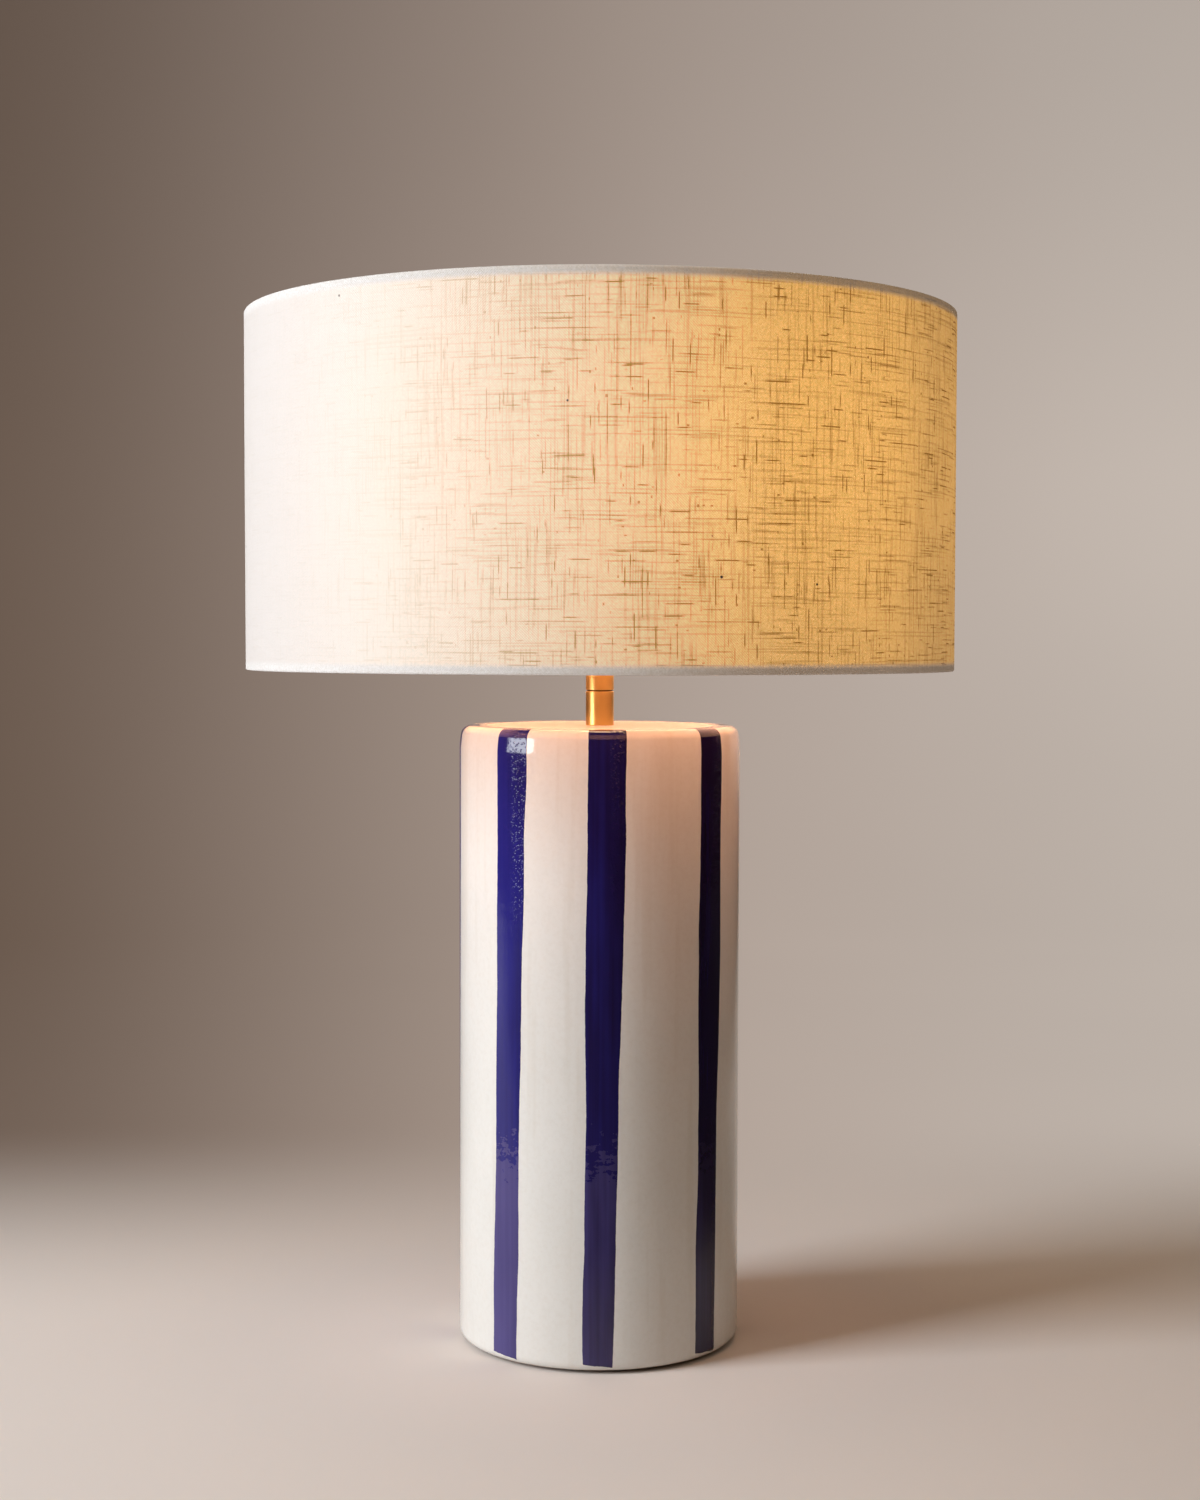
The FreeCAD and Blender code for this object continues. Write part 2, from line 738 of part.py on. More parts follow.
def make_bulb_envelope():
    """Pear-shaped glass: a concave waist arc that meets the globe on their common tangent."""
    centre = f"({BULB_BASE} + Sizes.bulb_length - Sizes.bulb_radius)"
    across = "(Sizes.bulb_neck_radius + Sizes.bulb_waist_radius)"
    reach = "(Sizes.bulb_radius + Sizes.bulb_waist_radius)"
    up = f"sqrt({reach} ^ 2 - {across} ^ 2)"

    def glass_face(inset):
        """Corners of one face of the glass, from the neck up to the crown."""
        globe = f"(Sizes.bulb_radius - {inset})"
        waist = f"(Sizes.bulb_waist_radius + {inset})"
        neck = f"(Sizes.bulb_neck_radius - {inset})"
        share = f"({globe} / {reach})"
        return [
            (neck, BULB_CAP_TOP),
            (neck, f"({centre} - {up})", waist, -1),
            (f"({across} * {share})", f"({centre} - {up} * {share})", globe, 1),
            (globe, centre, globe, 1),
            (NO_LENGTH, f"({centre} + {globe})"),
        ]

    outer = glass_face("0")
    inner = glass_face("Sizes.bulb_glass_wall")
    turned("bulb_envelope", outer + backwards(inner))


def make_shade_ring():
    """Threaded ring with finger flutes round its collar."""
    low = f"({SHADE_SEAT} + Sizes.fitter_thick)"
    flange_top = f"({low} + Sizes.ring_flange_thick)"
    top = f"({flange_top} + Sizes.ring_collar_height)"
    bore = "(Sizes.skirt_radius + Sizes.ring_thread_clearance)"
    body = turned(
        "shade_ring",
        [
            (bore, low),
            ("Sizes.ring_flange_radius", low),
            ("Sizes.ring_flange_radius", flange_top),
            ("Sizes.ring_collar_radius", flange_top),
            ("Sizes.ring_collar_radius", top),
            (bore, top),
        ],
    )
    sketch = new_sketch(body, "flute_circle", "XY_Plane")
    sketch.setExpression("AttachmentOffset.Base.z", flange_top)
    draw_circle(
        sketch,
        "Sizes.ring_collar_radius + Sizes.ring_flute_radius / 3",
        NO_LENGTH,
        "Sizes.ring_flute_radius",
    )
    flute = pocket(body, "flute", sketch, "Sizes.ring_collar_height", reverse=True)
    repeat_about_z(body, "flutes", [flute], FLUTES)


def make_shade_frame():
    """Fitter ring, three bent arms and the two edge wires inside the hems."""
    fitter_top = f"({SHADE_SEAT} + Sizes.fitter_thick)"
    turned(
        "fitter_ring",
        ring_corners("Sizes.fitter_hole_radius", "Sizes.fitter_radius", SHADE_SEAT, fitter_top),
    )
    for label, height in (
        ("bottom_ring", f"{SHADE_BASE} + {EDGE_WIRE_INSET}"),
        ("top_ring", f"{SHADE_TOP} - {EDGE_WIRE_INSET}"),
    ):
        make_edge_wire(label, height)
    make_spider_arms()


def make_edge_wire(label, height):
    """One closed hoop; its wire is drawn with flats, because the hem hides it."""
    half_turn = f"({FLAT_ANGLE} / 2)"
    corner = f"(Sizes.edge_wire_radius / cos({half_turn}))"
    corners = []
    for index in range(WIRE_FLATS):
        angle = f"({FLAT_ANGLE} * {index} + {half_turn})"
        across = f"({EDGE_WIRE_RADIUS} + {corner} * cos({angle}))"
        corners.append((across, f"({height} + {corner} * sin({angle}))"))
    turned(label, corners)


def make_spider_arms():
    """Arms welded under the fitter ring and to the inside of the bottom hoop."""
    high = f"({SHADE_SEAT} - Sizes.arm_radius - Sizes.weld_gap)"
    low = f"({SHADE_BASE} + {EDGE_WIRE_INSET})"
    start = "Sizes.arm_start_radius"
    first_bend = f"({start} + Sizes.arm_flat)"
    end = f"({EDGE_WIRE_RADIUS} - Sizes.edge_wire_radius - Sizes.weld_gap)"
    last_bend = f"({end} - Sizes.arm_foot)"
    body = new_body("spider_arms")
    body.AllowCompound = True
    path = new_sketch(body, "arm_path", "YZ_Plane")
    draw_bent_wire(path, start, first_bend, last_bend, end, high, low, "Sizes.arm_bend_radius")
    section = new_sketch(body, "arm_section")
    section.setExpression("AttachmentOffset.Base.z", f"-({start})")
    draw_circle(section, NO_LENGTH, high, "Sizes.arm_radius")
    pipe = body.newObject("PartDesign::AdditivePipe", "arm")
    pipe.Profile = section
    pipe.Spine = (path, [])
    doc.recompute()
    repeat_about_z(body, "arm_trio", [pipe], ARMS)


def draw_bent_wire(sketch, start, first_bend, last_bend, end, high, low, bend):
    """An open path: level at high, sloping between two tangent bends, level at low."""
    drop = value(high) - value(low)
    run = value(last_bend) - value(first_bend)
    radius = value(bend)
    turn = bend_angle(run, drop, radius)
    across = radius * math.sin(turn)
    down = radius * (1 - math.cos(turn))
    points = [
        FreeCAD.Vector(value(start), value(high), 0),
        FreeCAD.Vector(value(first_bend), value(high), 0),
        FreeCAD.Vector(value(first_bend) + across, value(high) - down, 0),
        FreeCAD.Vector(value(last_bend) - across, value(low) + down, 0),
        FreeCAD.Vector(value(last_bend), value(low), 0),
        FreeCAD.Vector(value(end), value(low), 0),
    ]
    level = sketch.addGeometry(Part.LineSegment(points[0], points[1]), False)
    middle = bulge_point(points[1], points[2], radius, -1)
    upper = sketch.addGeometry(Part.Arc(points[1], middle, points[2]), False)
    slope = sketch.addGeometry(Part.LineSegment(points[2], points[3]), False)
    middle = bulge_point(points[3], points[4], radius, 1)
    lower = sketch.addGeometry(Part.Arc(points[3], middle, points[4]), False)
    foot = sketch.addGeometry(Part.LineSegment(points[4], points[5]), False)
    upper_first = nearest_end(sketch, upper, points[1])
    lower_first = nearest_end(sketch, lower, points[3])
    other = {1: 2, 2: 1}
    for first, first_end, second, second_end in (
        (level, 2, upper, upper_first),
        (upper, other[upper_first], slope, 1),
        (slope, 2, lower, lower_first),
        (lower, other[lower_first], foot, 1),
    ):
        sketch.addConstraint(
            Sketcher.Constraint("Tangent", first, first_end, second, second_end)
        )
    for arc in (upper, lower):
        number = sketch.addConstraint(Sketcher.Constraint("Radius", arc, radius))
        sketch.setExpression(f"Constraints[{number}]", bend)
    pin_point(sketch, level, 1, start, high)
    pin_point(sketch, level, 2, first_bend, high)
    pin_point(sketch, foot, 1, last_bend, low)
    pin_point(sketch, foot, 2, end, low)


def bend_angle(run, drop, radius):
    """The turn of each of two equal and opposite bends that cover run and drop."""
    turn = math.atan2(drop, run)
    for _ in range(20):
        slope_run = run - 2 * radius * math.sin(turn)
        slope_drop = drop - 2 * radius * (1 - math.cos(turn))
        turn = math.atan2(slope_drop, slope_run)
    return turn


def nearest_end(sketch, geometry, point):
    """1 or 2: the end of a line or arc that lies at the point."""
    to_first = (sketch.getPoint(geometry, 1) - point).Length
    to_second = (sketch.getPoint(geometry, 2) - point).Length
    return 1 if to_first < to_second else 2


def hem_corners(edge, inward):
    """Corners of one folded hem, from the drum's outside to its inside, for the edge at that height.

    inward is 1 at the bottom edge and -1 at the top edge.
    """
    outside = "Sizes.shade_radius"
    thick = "Sizes.fabric_thick"
    channel = "(2 * (Sizes.edge_wire_radius + Sizes.hem_play))"
    lip_outer = f"({outside} - {thick} - {channel})"
    lip_inner = f"({lip_outer} - {thick})"

    def at(distance):
        return f"({edge} + {inward} * ({distance}))"

    return [
        (outside, at("Sizes.hem_bevel")),
        (f"({outside} - Sizes.hem_bevel)", at(NO_LENGTH)),
        (f"({lip_inner} + Sizes.hem_bevel)", at(NO_LENGTH)),
        (lip_inner, at("Sizes.hem_bevel")),
        (lip_inner, at("Sizes.hem_height")),
        (lip_outer, at("Sizes.hem_height")),
        (lip_outer, at(thick)),
        (f"({outside} - {thick})", at(thick)),
    ]


def make_shade_fabric():
    """Fabric drum whose edges fold in over the hoops."""
    bottom = hem_corners(SHADE_BASE, 1)
    top = hem_corners(SHADE_TOP, -1)
    body = turned("shade_fabric", bottom[::-1] + top)
    half_width = "(Sizes.arm_radius + Sizes.notch_play)"
    channel = "(2 * (Sizes.edge_wire_radius + Sizes.hem_play))"
    lip = f"(Sizes.shade_radius - 2 * Sizes.fabric_thick - {channel})"
    near = f"({lip} - Sizes.edge_wire_radius)"
    far = f"({lip} + Sizes.fabric_thick + Sizes.hem_play)"
    sketch = new_sketch(body, "arm_slit_outline", "XY_Plane")
    sketch.setExpression("AttachmentOffset.Base.z", SHADE_BASE)
    draw_outline(
        sketch,
        [(f"-{half_width}", near), (half_width, near), (half_width, far), (f"-{half_width}", far)],
    )
    slit = pocket(body, "arm_slit", sketch, "2 * Sizes.hem_height", reverse=True)
    repeat_about_z(body, "arm_slits", [slit], ARMS)


def make_shade_liner():
    """Stiff translucent liner bonded inside the fabric, between the hoops."""
    inner = f"({LINER_RADIUS} - Sizes.liner_thick)"
    clear = "(Sizes.fabric_thick + 2 * (Sizes.edge_wire_radius + Sizes.hem_play))"
    turned(
        "shade_liner",
        ring_corners(inner, LINER_RADIUS, f"({SHADE_BASE} + {clear})", f"({SHADE_TOP} - {clear})"),
    )


def make_all():
    """Build every piece and return the labelled bodies."""
    make_felt_pad()
    make_ceramic_body()
    make_stem_stack()
    make_neck()
    make_cord_gland()
    make_holder_cap()
    make_holder_core()
    make_terminal_screws()
    make_centre_contact()
    make_holder_skirt()
    make_screw_shell()
    make_bulb()
    make_shade_ring()
    make_shade_frame()
    make_shade_fabric()
    make_shade_liner()
    doc.recompute()
    return [o for o in doc.Objects if o.TypeId == "PartDesign::Body"]


def check_all(bodies):
    """Stop if any object failed or any shape is empty or broken."""
    for thing in doc.Objects:
        if "Invalid" in thing.State or "Error" in thing.State:
            raise RuntimeError(f"{thing.Name} is {thing.State}")
    for body in bodies:
        if body.Shape.isNull() or not body.Shape.isValid() or not body.Shape.Solids:
            raise RuntimeError(f"{body.Label} has no valid shape")


pieces = make_all()
check_all(pieces)
os.makedirs("parts", exist_ok=True)
for piece in pieces:
    piece.Shape.exportStep(f"parts/{piece.Label}.step")
    print(piece.Label, len(piece.Shape.Solids), round(piece.Shape.Volume, 1))
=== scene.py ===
"""Ceramic table lamp in a pale studio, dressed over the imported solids. Metres, +Z up, +Y to the back."""

import math

import bmesh
import bpy
from mathutils import Matrix, Vector


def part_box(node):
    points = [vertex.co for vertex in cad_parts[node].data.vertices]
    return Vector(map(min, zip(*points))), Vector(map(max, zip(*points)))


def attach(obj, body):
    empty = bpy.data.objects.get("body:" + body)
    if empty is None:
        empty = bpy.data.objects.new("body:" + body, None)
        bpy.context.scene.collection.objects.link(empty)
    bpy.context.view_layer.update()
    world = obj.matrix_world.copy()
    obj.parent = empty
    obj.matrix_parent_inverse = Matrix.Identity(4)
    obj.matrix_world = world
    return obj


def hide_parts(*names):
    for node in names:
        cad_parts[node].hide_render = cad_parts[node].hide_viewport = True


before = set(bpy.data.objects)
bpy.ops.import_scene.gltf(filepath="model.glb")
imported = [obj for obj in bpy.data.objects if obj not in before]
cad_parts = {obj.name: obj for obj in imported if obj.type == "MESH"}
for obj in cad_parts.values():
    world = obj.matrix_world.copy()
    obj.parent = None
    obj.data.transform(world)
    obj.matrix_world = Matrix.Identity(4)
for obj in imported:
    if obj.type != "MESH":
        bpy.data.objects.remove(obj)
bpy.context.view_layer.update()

MM = 0.001
FULL_TURN = 2 * math.pi
TURN_FLATS = 128
SOFT_EDGE_FLATS = 8
SHARP_EDGE = math.radians(38)
HOLD_SHARE = 0.15
ON_AXIS = 1e-7
BLACK = (0.0, 0.0, 0.0)

# where the photograph was taken from
CAMERA_PLACE = (0.0, -1.3331, 0.4016)
CAMERA_PITCH = 0.0483
CAMERA_ROLL = -0.0023
CAMERA_LENS = 56.03
CAMERA_SENSOR = 36.0

# the studio's paper: the painted light that the camera sees on it behind the lamp, fanning out from a
# point in front, and its paint, pale near the lamp and painted dark behind it as painted shade
FAN_POINT = -1.333
BEHIND_LEFT = (0.105, 0.068, 0.046)
BEHIND_MIDDLE = (0.375, 0.300, 0.256)
BEHIND_RIGHT = (0.535, 0.470, 0.420)
PAPER_BEHIND = (0.06, 0.05, 0.045)
PAPER_NEAR = (0.80, 0.755, 0.718)

# the window on the left
WINDOW_BEARING = math.radians(-66)
WINDOW_REACH = 2.3
WINDOW_MIDDLE = 1.27
WINDOW_WIDTH = 1.0
WINDOW_HEIGHT = 1.82

# brush work on the glaze, round a body of this reach
BODY_REACH = 80.0 * MM
STRIPE_COUNT = 8
STRIPE_HALF_WIDTH = 7.9 * MM
STRIPE_SPREAD = 0.0055
STRIPE_FULLNESS = 0.0017
STRIPE_TOP_REACH = 68.6 * MM
STRIPE_FOOT = 5.0 * MM
STRIPE_LEVEL = 0.333
STRIPE_LEAN = math.radians(9.7)
STRIPE_STRAY = math.radians(2.615)
FIRST_STRAY = math.radians(-119.1)
FIRST_STRIPE = math.radians(5.3)
# height below which the strokes are painted paler, a painted reflection of the floor
PAINTED_REFLECTION_TOP = 0.118

# the shade's cloth: its threads, its folded edge and the light that comes through
THREADS_PER_METRE = 1500.0
SLUB_THRESHOLD = 0.68
THREAD_WANDER = 1.2
HEM_EDGE = 4.6 * MM
BULB_HEIGHT = 0.500
CLOTH_GLOW_REACH = 0.20
LINING_GLOW_REACH = 0.17
WASHED_BEARING = math.radians(-74)

# kinds of dark stretches: threads wide, how many to a metre, ease and rise of their edge, depth
SLUB_KINDS = (
    (1.0, 15.0, -0.13, 0.16, 0.27),
    (1.0, 27.0, -0.03, 0.09, 0.44),
    (1.0, 36.0, 0.035, 0.06, 0.72),
    (2.0, 300.0, 0.095, 0.05, 0.6),
)


# wiring of node trees


class Field:
    """A node's output, which can be added, taken away, multiplied and divided like a number."""

    def __init__(self, tree, socket):
        self.tree = tree
        self.socket = socket

    def __add__(self, other):
        return calc("ADD", self, other)

    def __sub__(self, other):
        return calc("SUBTRACT", self, other)

    def __rsub__(self, other):
        return calc("SUBTRACT", other, self)

    def __mul__(self, other):
        return calc("MULTIPLY", self, other)

    def __rmul__(self, other):
        return calc("MULTIPLY", other, self)

    def __truediv__(self, other):
        return calc("DIVIDE", self, other)


def tree_of(values):
    """The node tree of the first field among some values."""
    return next(value.tree for value in values if isinstance(value, Field))


def wire(socket, value):
    """Join a field to the socket, or set the socket's own value."""
    if isinstance(value, Field):
        value.tree.links.new(value.socket, socket)
    elif socket.type == "RGBA":
        socket.default_value = (*value, 1.0)
    else:
        socket.default_value = value


def put(tree, kind, values=None, **settings):
    """Add a node with its settings and its inputs set or joined; gives its outputs by name."""
    node = tree.nodes.new(kind)
    for setting, choice in settings.items():
        setattr(node, setting, choice)
    for name, value in (values or {}).items():
        wire(node.inputs[name], value)
    return {socket.name: Field(tree, socket) for socket in node.outputs}


def calc(operation, *values):
    """The output of one Math node."""
    return put(tree_of(values), "ShaderNodeMath", dict(enumerate(values)), operation=operation)["Value"]


def step(value, low, high, first=0.0, last=1.0):
    """A smooth step of a value from first at low to last at high."""
    ends = {"Value": value, "From Min": low, "From Max": high, "To Min": first, "To Max": last}
    return put(value.tree, "ShaderNodeMapRange", ends, interpolation_type="SMOOTHSTEP")["Result"]


def tint(share, first, second, blend="MIX"):
    """A colour between first and second."""
    tree = tree_of((share, first, second))
    node = tree.nodes.new("ShaderNodeMix")
    node.data_type = "RGBA"
    node.blend_type = blend
    for number, value in ((0, share), (6, first), (7, second)):
        wire(node.inputs[number], value)
    return Field(tree, node.outputs[2])


def vector(*values):
    """A vector of one, two or three numbers."""
    return put(tree_of(values), "ShaderNodeCombineXYZ", dict(enumerate(values)))["Vector"]


def parts(place):
    """The X, Y and Z of a vector."""
    found = put(place.tree, "ShaderNodeSeparateXYZ", {"Vector": place})
    return found["X"], found["Y"], found["Z"]


def bearing_of(place):
    """The angle of a place round Z; zero is the front, and the count goes to the right."""
    across, deep, _ = parts(place)
    return calc("ARCTAN2", across, deep * -1.0)


def radius_of(place):
    """How far a place lies from Z."""
    across, deep, _ = parts(place)
    return calc("SQRT", across * across + deep * deep)


def noise(place, scale, detail=2.0, roughness=0.5, flat=False):
    """The grey of a noise texture, on a solid or on a flat pattern."""
    look = {"Vector": place, "Scale": scale, "Detail": detail, "Roughness": roughness}
    return put(place.tree, "ShaderNodeTexNoise", look, noise_dimensions="2D" if flat else "3D")["Fac"]


def stretched_noise(place, across, up, detail, roughness=0.5):
    """Noise on a flat pattern, with its own scale along and up."""
    spread = put(place.tree, "ShaderNodeMapping", {"Vector": place, "Scale": (across, up, 1.0)})
    return noise(spread["Vector"], 1.0, detail, roughness, flat=True)


def new_group(name, inputs, outputs, kind="Shader"):
    """An empty Shader or Geometry group; gives its tree, its inputs as fields and its outputs' sockets.

    An input is given as its first value, or as its kind of socket. A shader group puts out plain numbers.
    """
    tree = bpy.data.node_groups.new(name, f"{kind}NodeTree")
    for label, value in inputs.items():
        sort = value if isinstance(value, str) else type(value).__name__.title()
        socket = tree.interface.new_socket(label, in_out="INPUT", socket_type=f"NodeSocket{sort}")
        if value != sort:
            socket.default_value = value
    sort = "Float" if kind == "Shader" else kind
    for label in outputs:
        tree.interface.new_socket(label, in_out="OUTPUT", socket_type=f"NodeSocket{sort}")
    given = put(tree, "NodeGroupInput")
    return tree, given, tree.nodes.new("NodeGroupOutput").inputs


def use_group(group, place, **values):
    """Put a shader group where a place is known; underscores stand for spaces in its inputs' names."""
    inputs = {name.replace("_", " "): value for name, value in values.items()}
    return put(place.tree, "ShaderNodeGroup", {"Vector": place} | inputs, node_tree=group)


# effects that several finishes share


def make_mottle():
    """Uneven tone and a low, wandering surface, as on glaze, paint and moulded parts."""
    tree, given, made = new_group(
        "cast_mottle", {"Vector": "Vector", "Scale": 30.0, "Fine Scale": 400.0}, ["Tone", "Height"]
    )
    broad = noise(given["Vector"], given["Scale"], 3.0)
    fine = noise(given["Vector"], given["Fine Scale"])
    wire(made["Tone"], fine * 0.25 + broad * 0.75)
    wire(made["Height"], fine * 0.12 + broad)
    return tree


def make_specks():
    """Small separate specks, scattered at random."""
    tree, given, made = new_group(
        "stray_specks", {"Vector": "Vector", "Per Metre": 60.0, "Size": 0.04, "Share": 0.2}, ["Mask"]
    )
    scatter = {"Vector": given["Vector"], "Scale": given["Per Metre"]}
    cells = put(tree, "ShaderNodeTexVoronoi", scatter)
    lot = put(tree, "ShaderNodeSeparateColor", {"Color": cells["Color"]})
    chosen = calc("LESS_THAN", lot["Red"], given["Share"])
    reach = given["Size"] * (lot["Green"] + 0.4)
    wire(made["Mask"], step(cells["Distance"], reach * 0.5, reach, 1.0, 0.0) * chosen)
    return tree


def make_turning_marks():
    """Fine rings that a lathe tool leaves round Z."""
    tree, given, made = new_group(
        "turning_marks", {"Vector": "Vector", "Rings Per Metre": 4000.0}, ["Tone", "Height"]
    )
    place = given["Vector"]
    along = parts(place)[2] + radius_of(place) * 0.7
    marks = noise(vector(along), given["Rings Per Metre"], 3.0, 0.7)
    smear = noise(place, 160.0)
    wire(made["Height"], marks)
    wire(made["Tone"], smear * 0.5 + marks * 0.5)
    return tree


def make_plain_weave():
    """Plain weave on a flat pattern in metres.

    Threads is how open the cloth is from thread to thread, and Slubs is where a thread is thick and dark.
    """
    tree, given, made = new_group(
        "plain_weave",
        {"Vector": "Vector", "Threads Per Metre": 1500.0, "Slub Threshold": 0.68},
        ["Height", "Threads", "Slubs"],
    )
    place = given["Vector"]
    across, up, _ = parts(place)
    # the threads wander a little from straight
    wander = {"Vector": place, "Scale": 22.0, "Detail": 1.0}
    shift = put(tree, "ShaderNodeTexNoise", wander, noise_dimensions="2D")
    shift = put(tree, "ShaderNodeSeparateColor", {"Color": shift["Color"]})
    warp = across * given["Threads Per Metre"] + shift["Red"] * THREAD_WANDER
    weft = up * given["Threads Per Metre"] + shift["Green"] * THREAD_WANDER
    crossing = calc("SINE", warp * math.pi) * calc("SINE", weft * math.pi)

    # dark stretches lie closer together in some patches than in others
    patches = noise(place, 26.0, 3.0, 0.6, flat=True)
    edge = (patches - 0.5) * -0.05 + given["Slub Threshold"]
    clear = 1.0
    for thread, along, seed in ((warp, up, 3.7), (weft, across, 91.2)):
        for width, per_metre, ease, rise, depth in SLUB_KINDS:
            number = calc("FLOOR", thread / width)
            lie = vector(number * 7.31 + (seed + per_metre), along * per_metre)
            thick = noise(lie, 1.0, 1.5, flat=True)
            low = edge + ease
            clear = clear * step(thick, low, low + rise, 1.0, 1.0 - depth)
    slubs = 1.0 - clear

    cell = vector(calc("FLOOR", warp), calc("FLOOR", weft))
    gaps = put(tree, "ShaderNodeTexWhiteNoise", {"Vector": cell}, noise_dimensions="2D")["Value"]
    loose = noise(place, 650.0, 2.0, 0.6, flat=True)
    wire(made["Slubs"], slubs)
    wire(made["Threads"], loose * 0.90 + gaps * 0.50 + crossing * 0.12 - 0.20)
    wire(made["Height"], slubs * 0.9 + crossing)
    return tree


def make_painted_stripes():
    """Broad brush strokes down a cylinder.

    Mask is where the pigment lies, Load how much of it, the third output its paler foot, which is a
    painted reflection of the pale floor, and Crawl where the glaze drew back in beads.
    """
    tree, given, made = new_group(
        "painted_stripes", {"Vector": "Vector"}, ["Mask", "Load", "Painted Reflection", "Crawl"]
    )
    where = given["Vector"]
    height = parts(where)[2]
    bearing = bearing_of(where)
    spacing = FULL_TURN / STRIPE_COUNT
    # the strokes lean, further round at the top than at the foot; their places are true at one level
    upright = bearing - (height - STRIPE_LEVEL) * STRIPE_LEAN - FIRST_STRIPE
    number = calc("FLOOR", upright / spacing + 0.5)
    # no stroke is exactly where its even spacing puts it
    swing = number * (3 * spacing) + FIRST_STRAY
    offset = upright - (number * spacing + calc("SINE", swing) * STRIPE_STRAY)

    stroke = calc("MODULO", number + 2.0 * STRIPE_COUNT, float(STRIPE_COUNT))
    stroke_place = vector(stroke * 7.3, height)
    drift = stretched_noise(stroke_place, 1.0, 13.0, 2.0)
    breadth = stretched_noise(stroke_place, 3.1, 11.0, 1.0)
    ragged = noise(where, 170.0, 3.0, 0.6)
    along = offset * BODY_REACH + (drift - 0.5) * (1.8 * MM)
    # every second stroke is fuller towards its top
    fuller = calc("COSINE", number * math.pi) * STRIPE_FULLNESS + STRIPE_FULLNESS
    half = height * (fuller + STRIPE_SPREAD) + STRIPE_HALF_WIDTH
    half = half + (breadth - 0.5) * (2.6 * MM) + (ragged - 0.5) * (0.55 * MM)
    inside = half - calc("ABSOLUTE", along)

    # the brush left the foot at a slant
    above_foot = height + (ragged - 0.5) * (1.6 * MM) + along * 0.11 - STRIPE_FOOT
    below_top = radius_of(where) - STRIPE_TOP_REACH
    nearest = calc("MINIMUM", inside, calc("MINIMUM", above_foot, below_top))
    wire(made["Mask"], step(nearest, -0.12 * MM, 0.12 * MM))

    # the load of each stroke, with the streaks of the bristles; it thins towards the stroke's left side
    brushed = vector(bearing * BODY_REACH, height)
    streaks = stretched_noise(brushed, 330.0, 6.0, 2.0)
    pools = stretched_noise(brushed, 60.0, 14.0, 2.0)
    carried = calc("SINE", number * spacing + math.radians(20)) * 0.46 + 0.5
    wire(made["Load"], carried + (streaks - 0.5) * 0.34 + (pools - 0.5) * 0.42 + along * 11.0)

    # the lower part of each stroke is painted paler, a painted reflection of the pale floor; noise breaks
    # up its border
    reflection_edge_noise = stretched_noise(brushed, 150.0, 230.0, 3.0, 0.7)
    border = (reflection_edge_noise - 0.5) * 0.085 + PAINTED_REFLECTION_TOP
    wire(made["Painted Reflection"], step(border - height, -0.4 * MM, 1.2 * MM))
    # the glaze crawled over the right side of the strokes' upper part
    wire(made["Crawl"], step(along, -1.0 * MM, 4.0 * MM) * step(height, 0.215, 0.315))
    return tree


MOTTLE = make_mottle()
SPECKS = make_specks()
TURNING_MARKS = make_turning_marks()
PLAIN_WEAVE = make_plain_weave()
PAINTED_STRIPES = make_painted_stripes()


# finishes


def new_finish(name, **constants):
    """A material with one Principled shader whose plain values are set on its own sockets.

    Gives the material, its shader and the places that a texture can start from.
    """
    made = bpy.data.materials.new(name)
    made.use_nodes = True
    shader = made.node_tree.nodes["Principled BSDF"]
    for label, value in constants.items():
        shader.inputs[label.replace("_", " ")].default_value = value
    return made, shader, put(made.node_tree, "ShaderNodeTexCoord")


def set_surface(shader, colour, roughness, height, depth, glow=None):
    """Join the colour, roughness and glow of a finish, and its relief in units of depth."""
    wire(shader.inputs["Base Color"], colour)
    wire(shader.inputs["Roughness"], roughness)
    if glow is not None:
        wire(shader.inputs["Emission Color"], glow)
    bump = put(height.tree, "ShaderNodeBump", {"Height": height, "Distance": depth, "Strength": 1.0})
    wire(shader.inputs["Normal"], bump["Normal"])


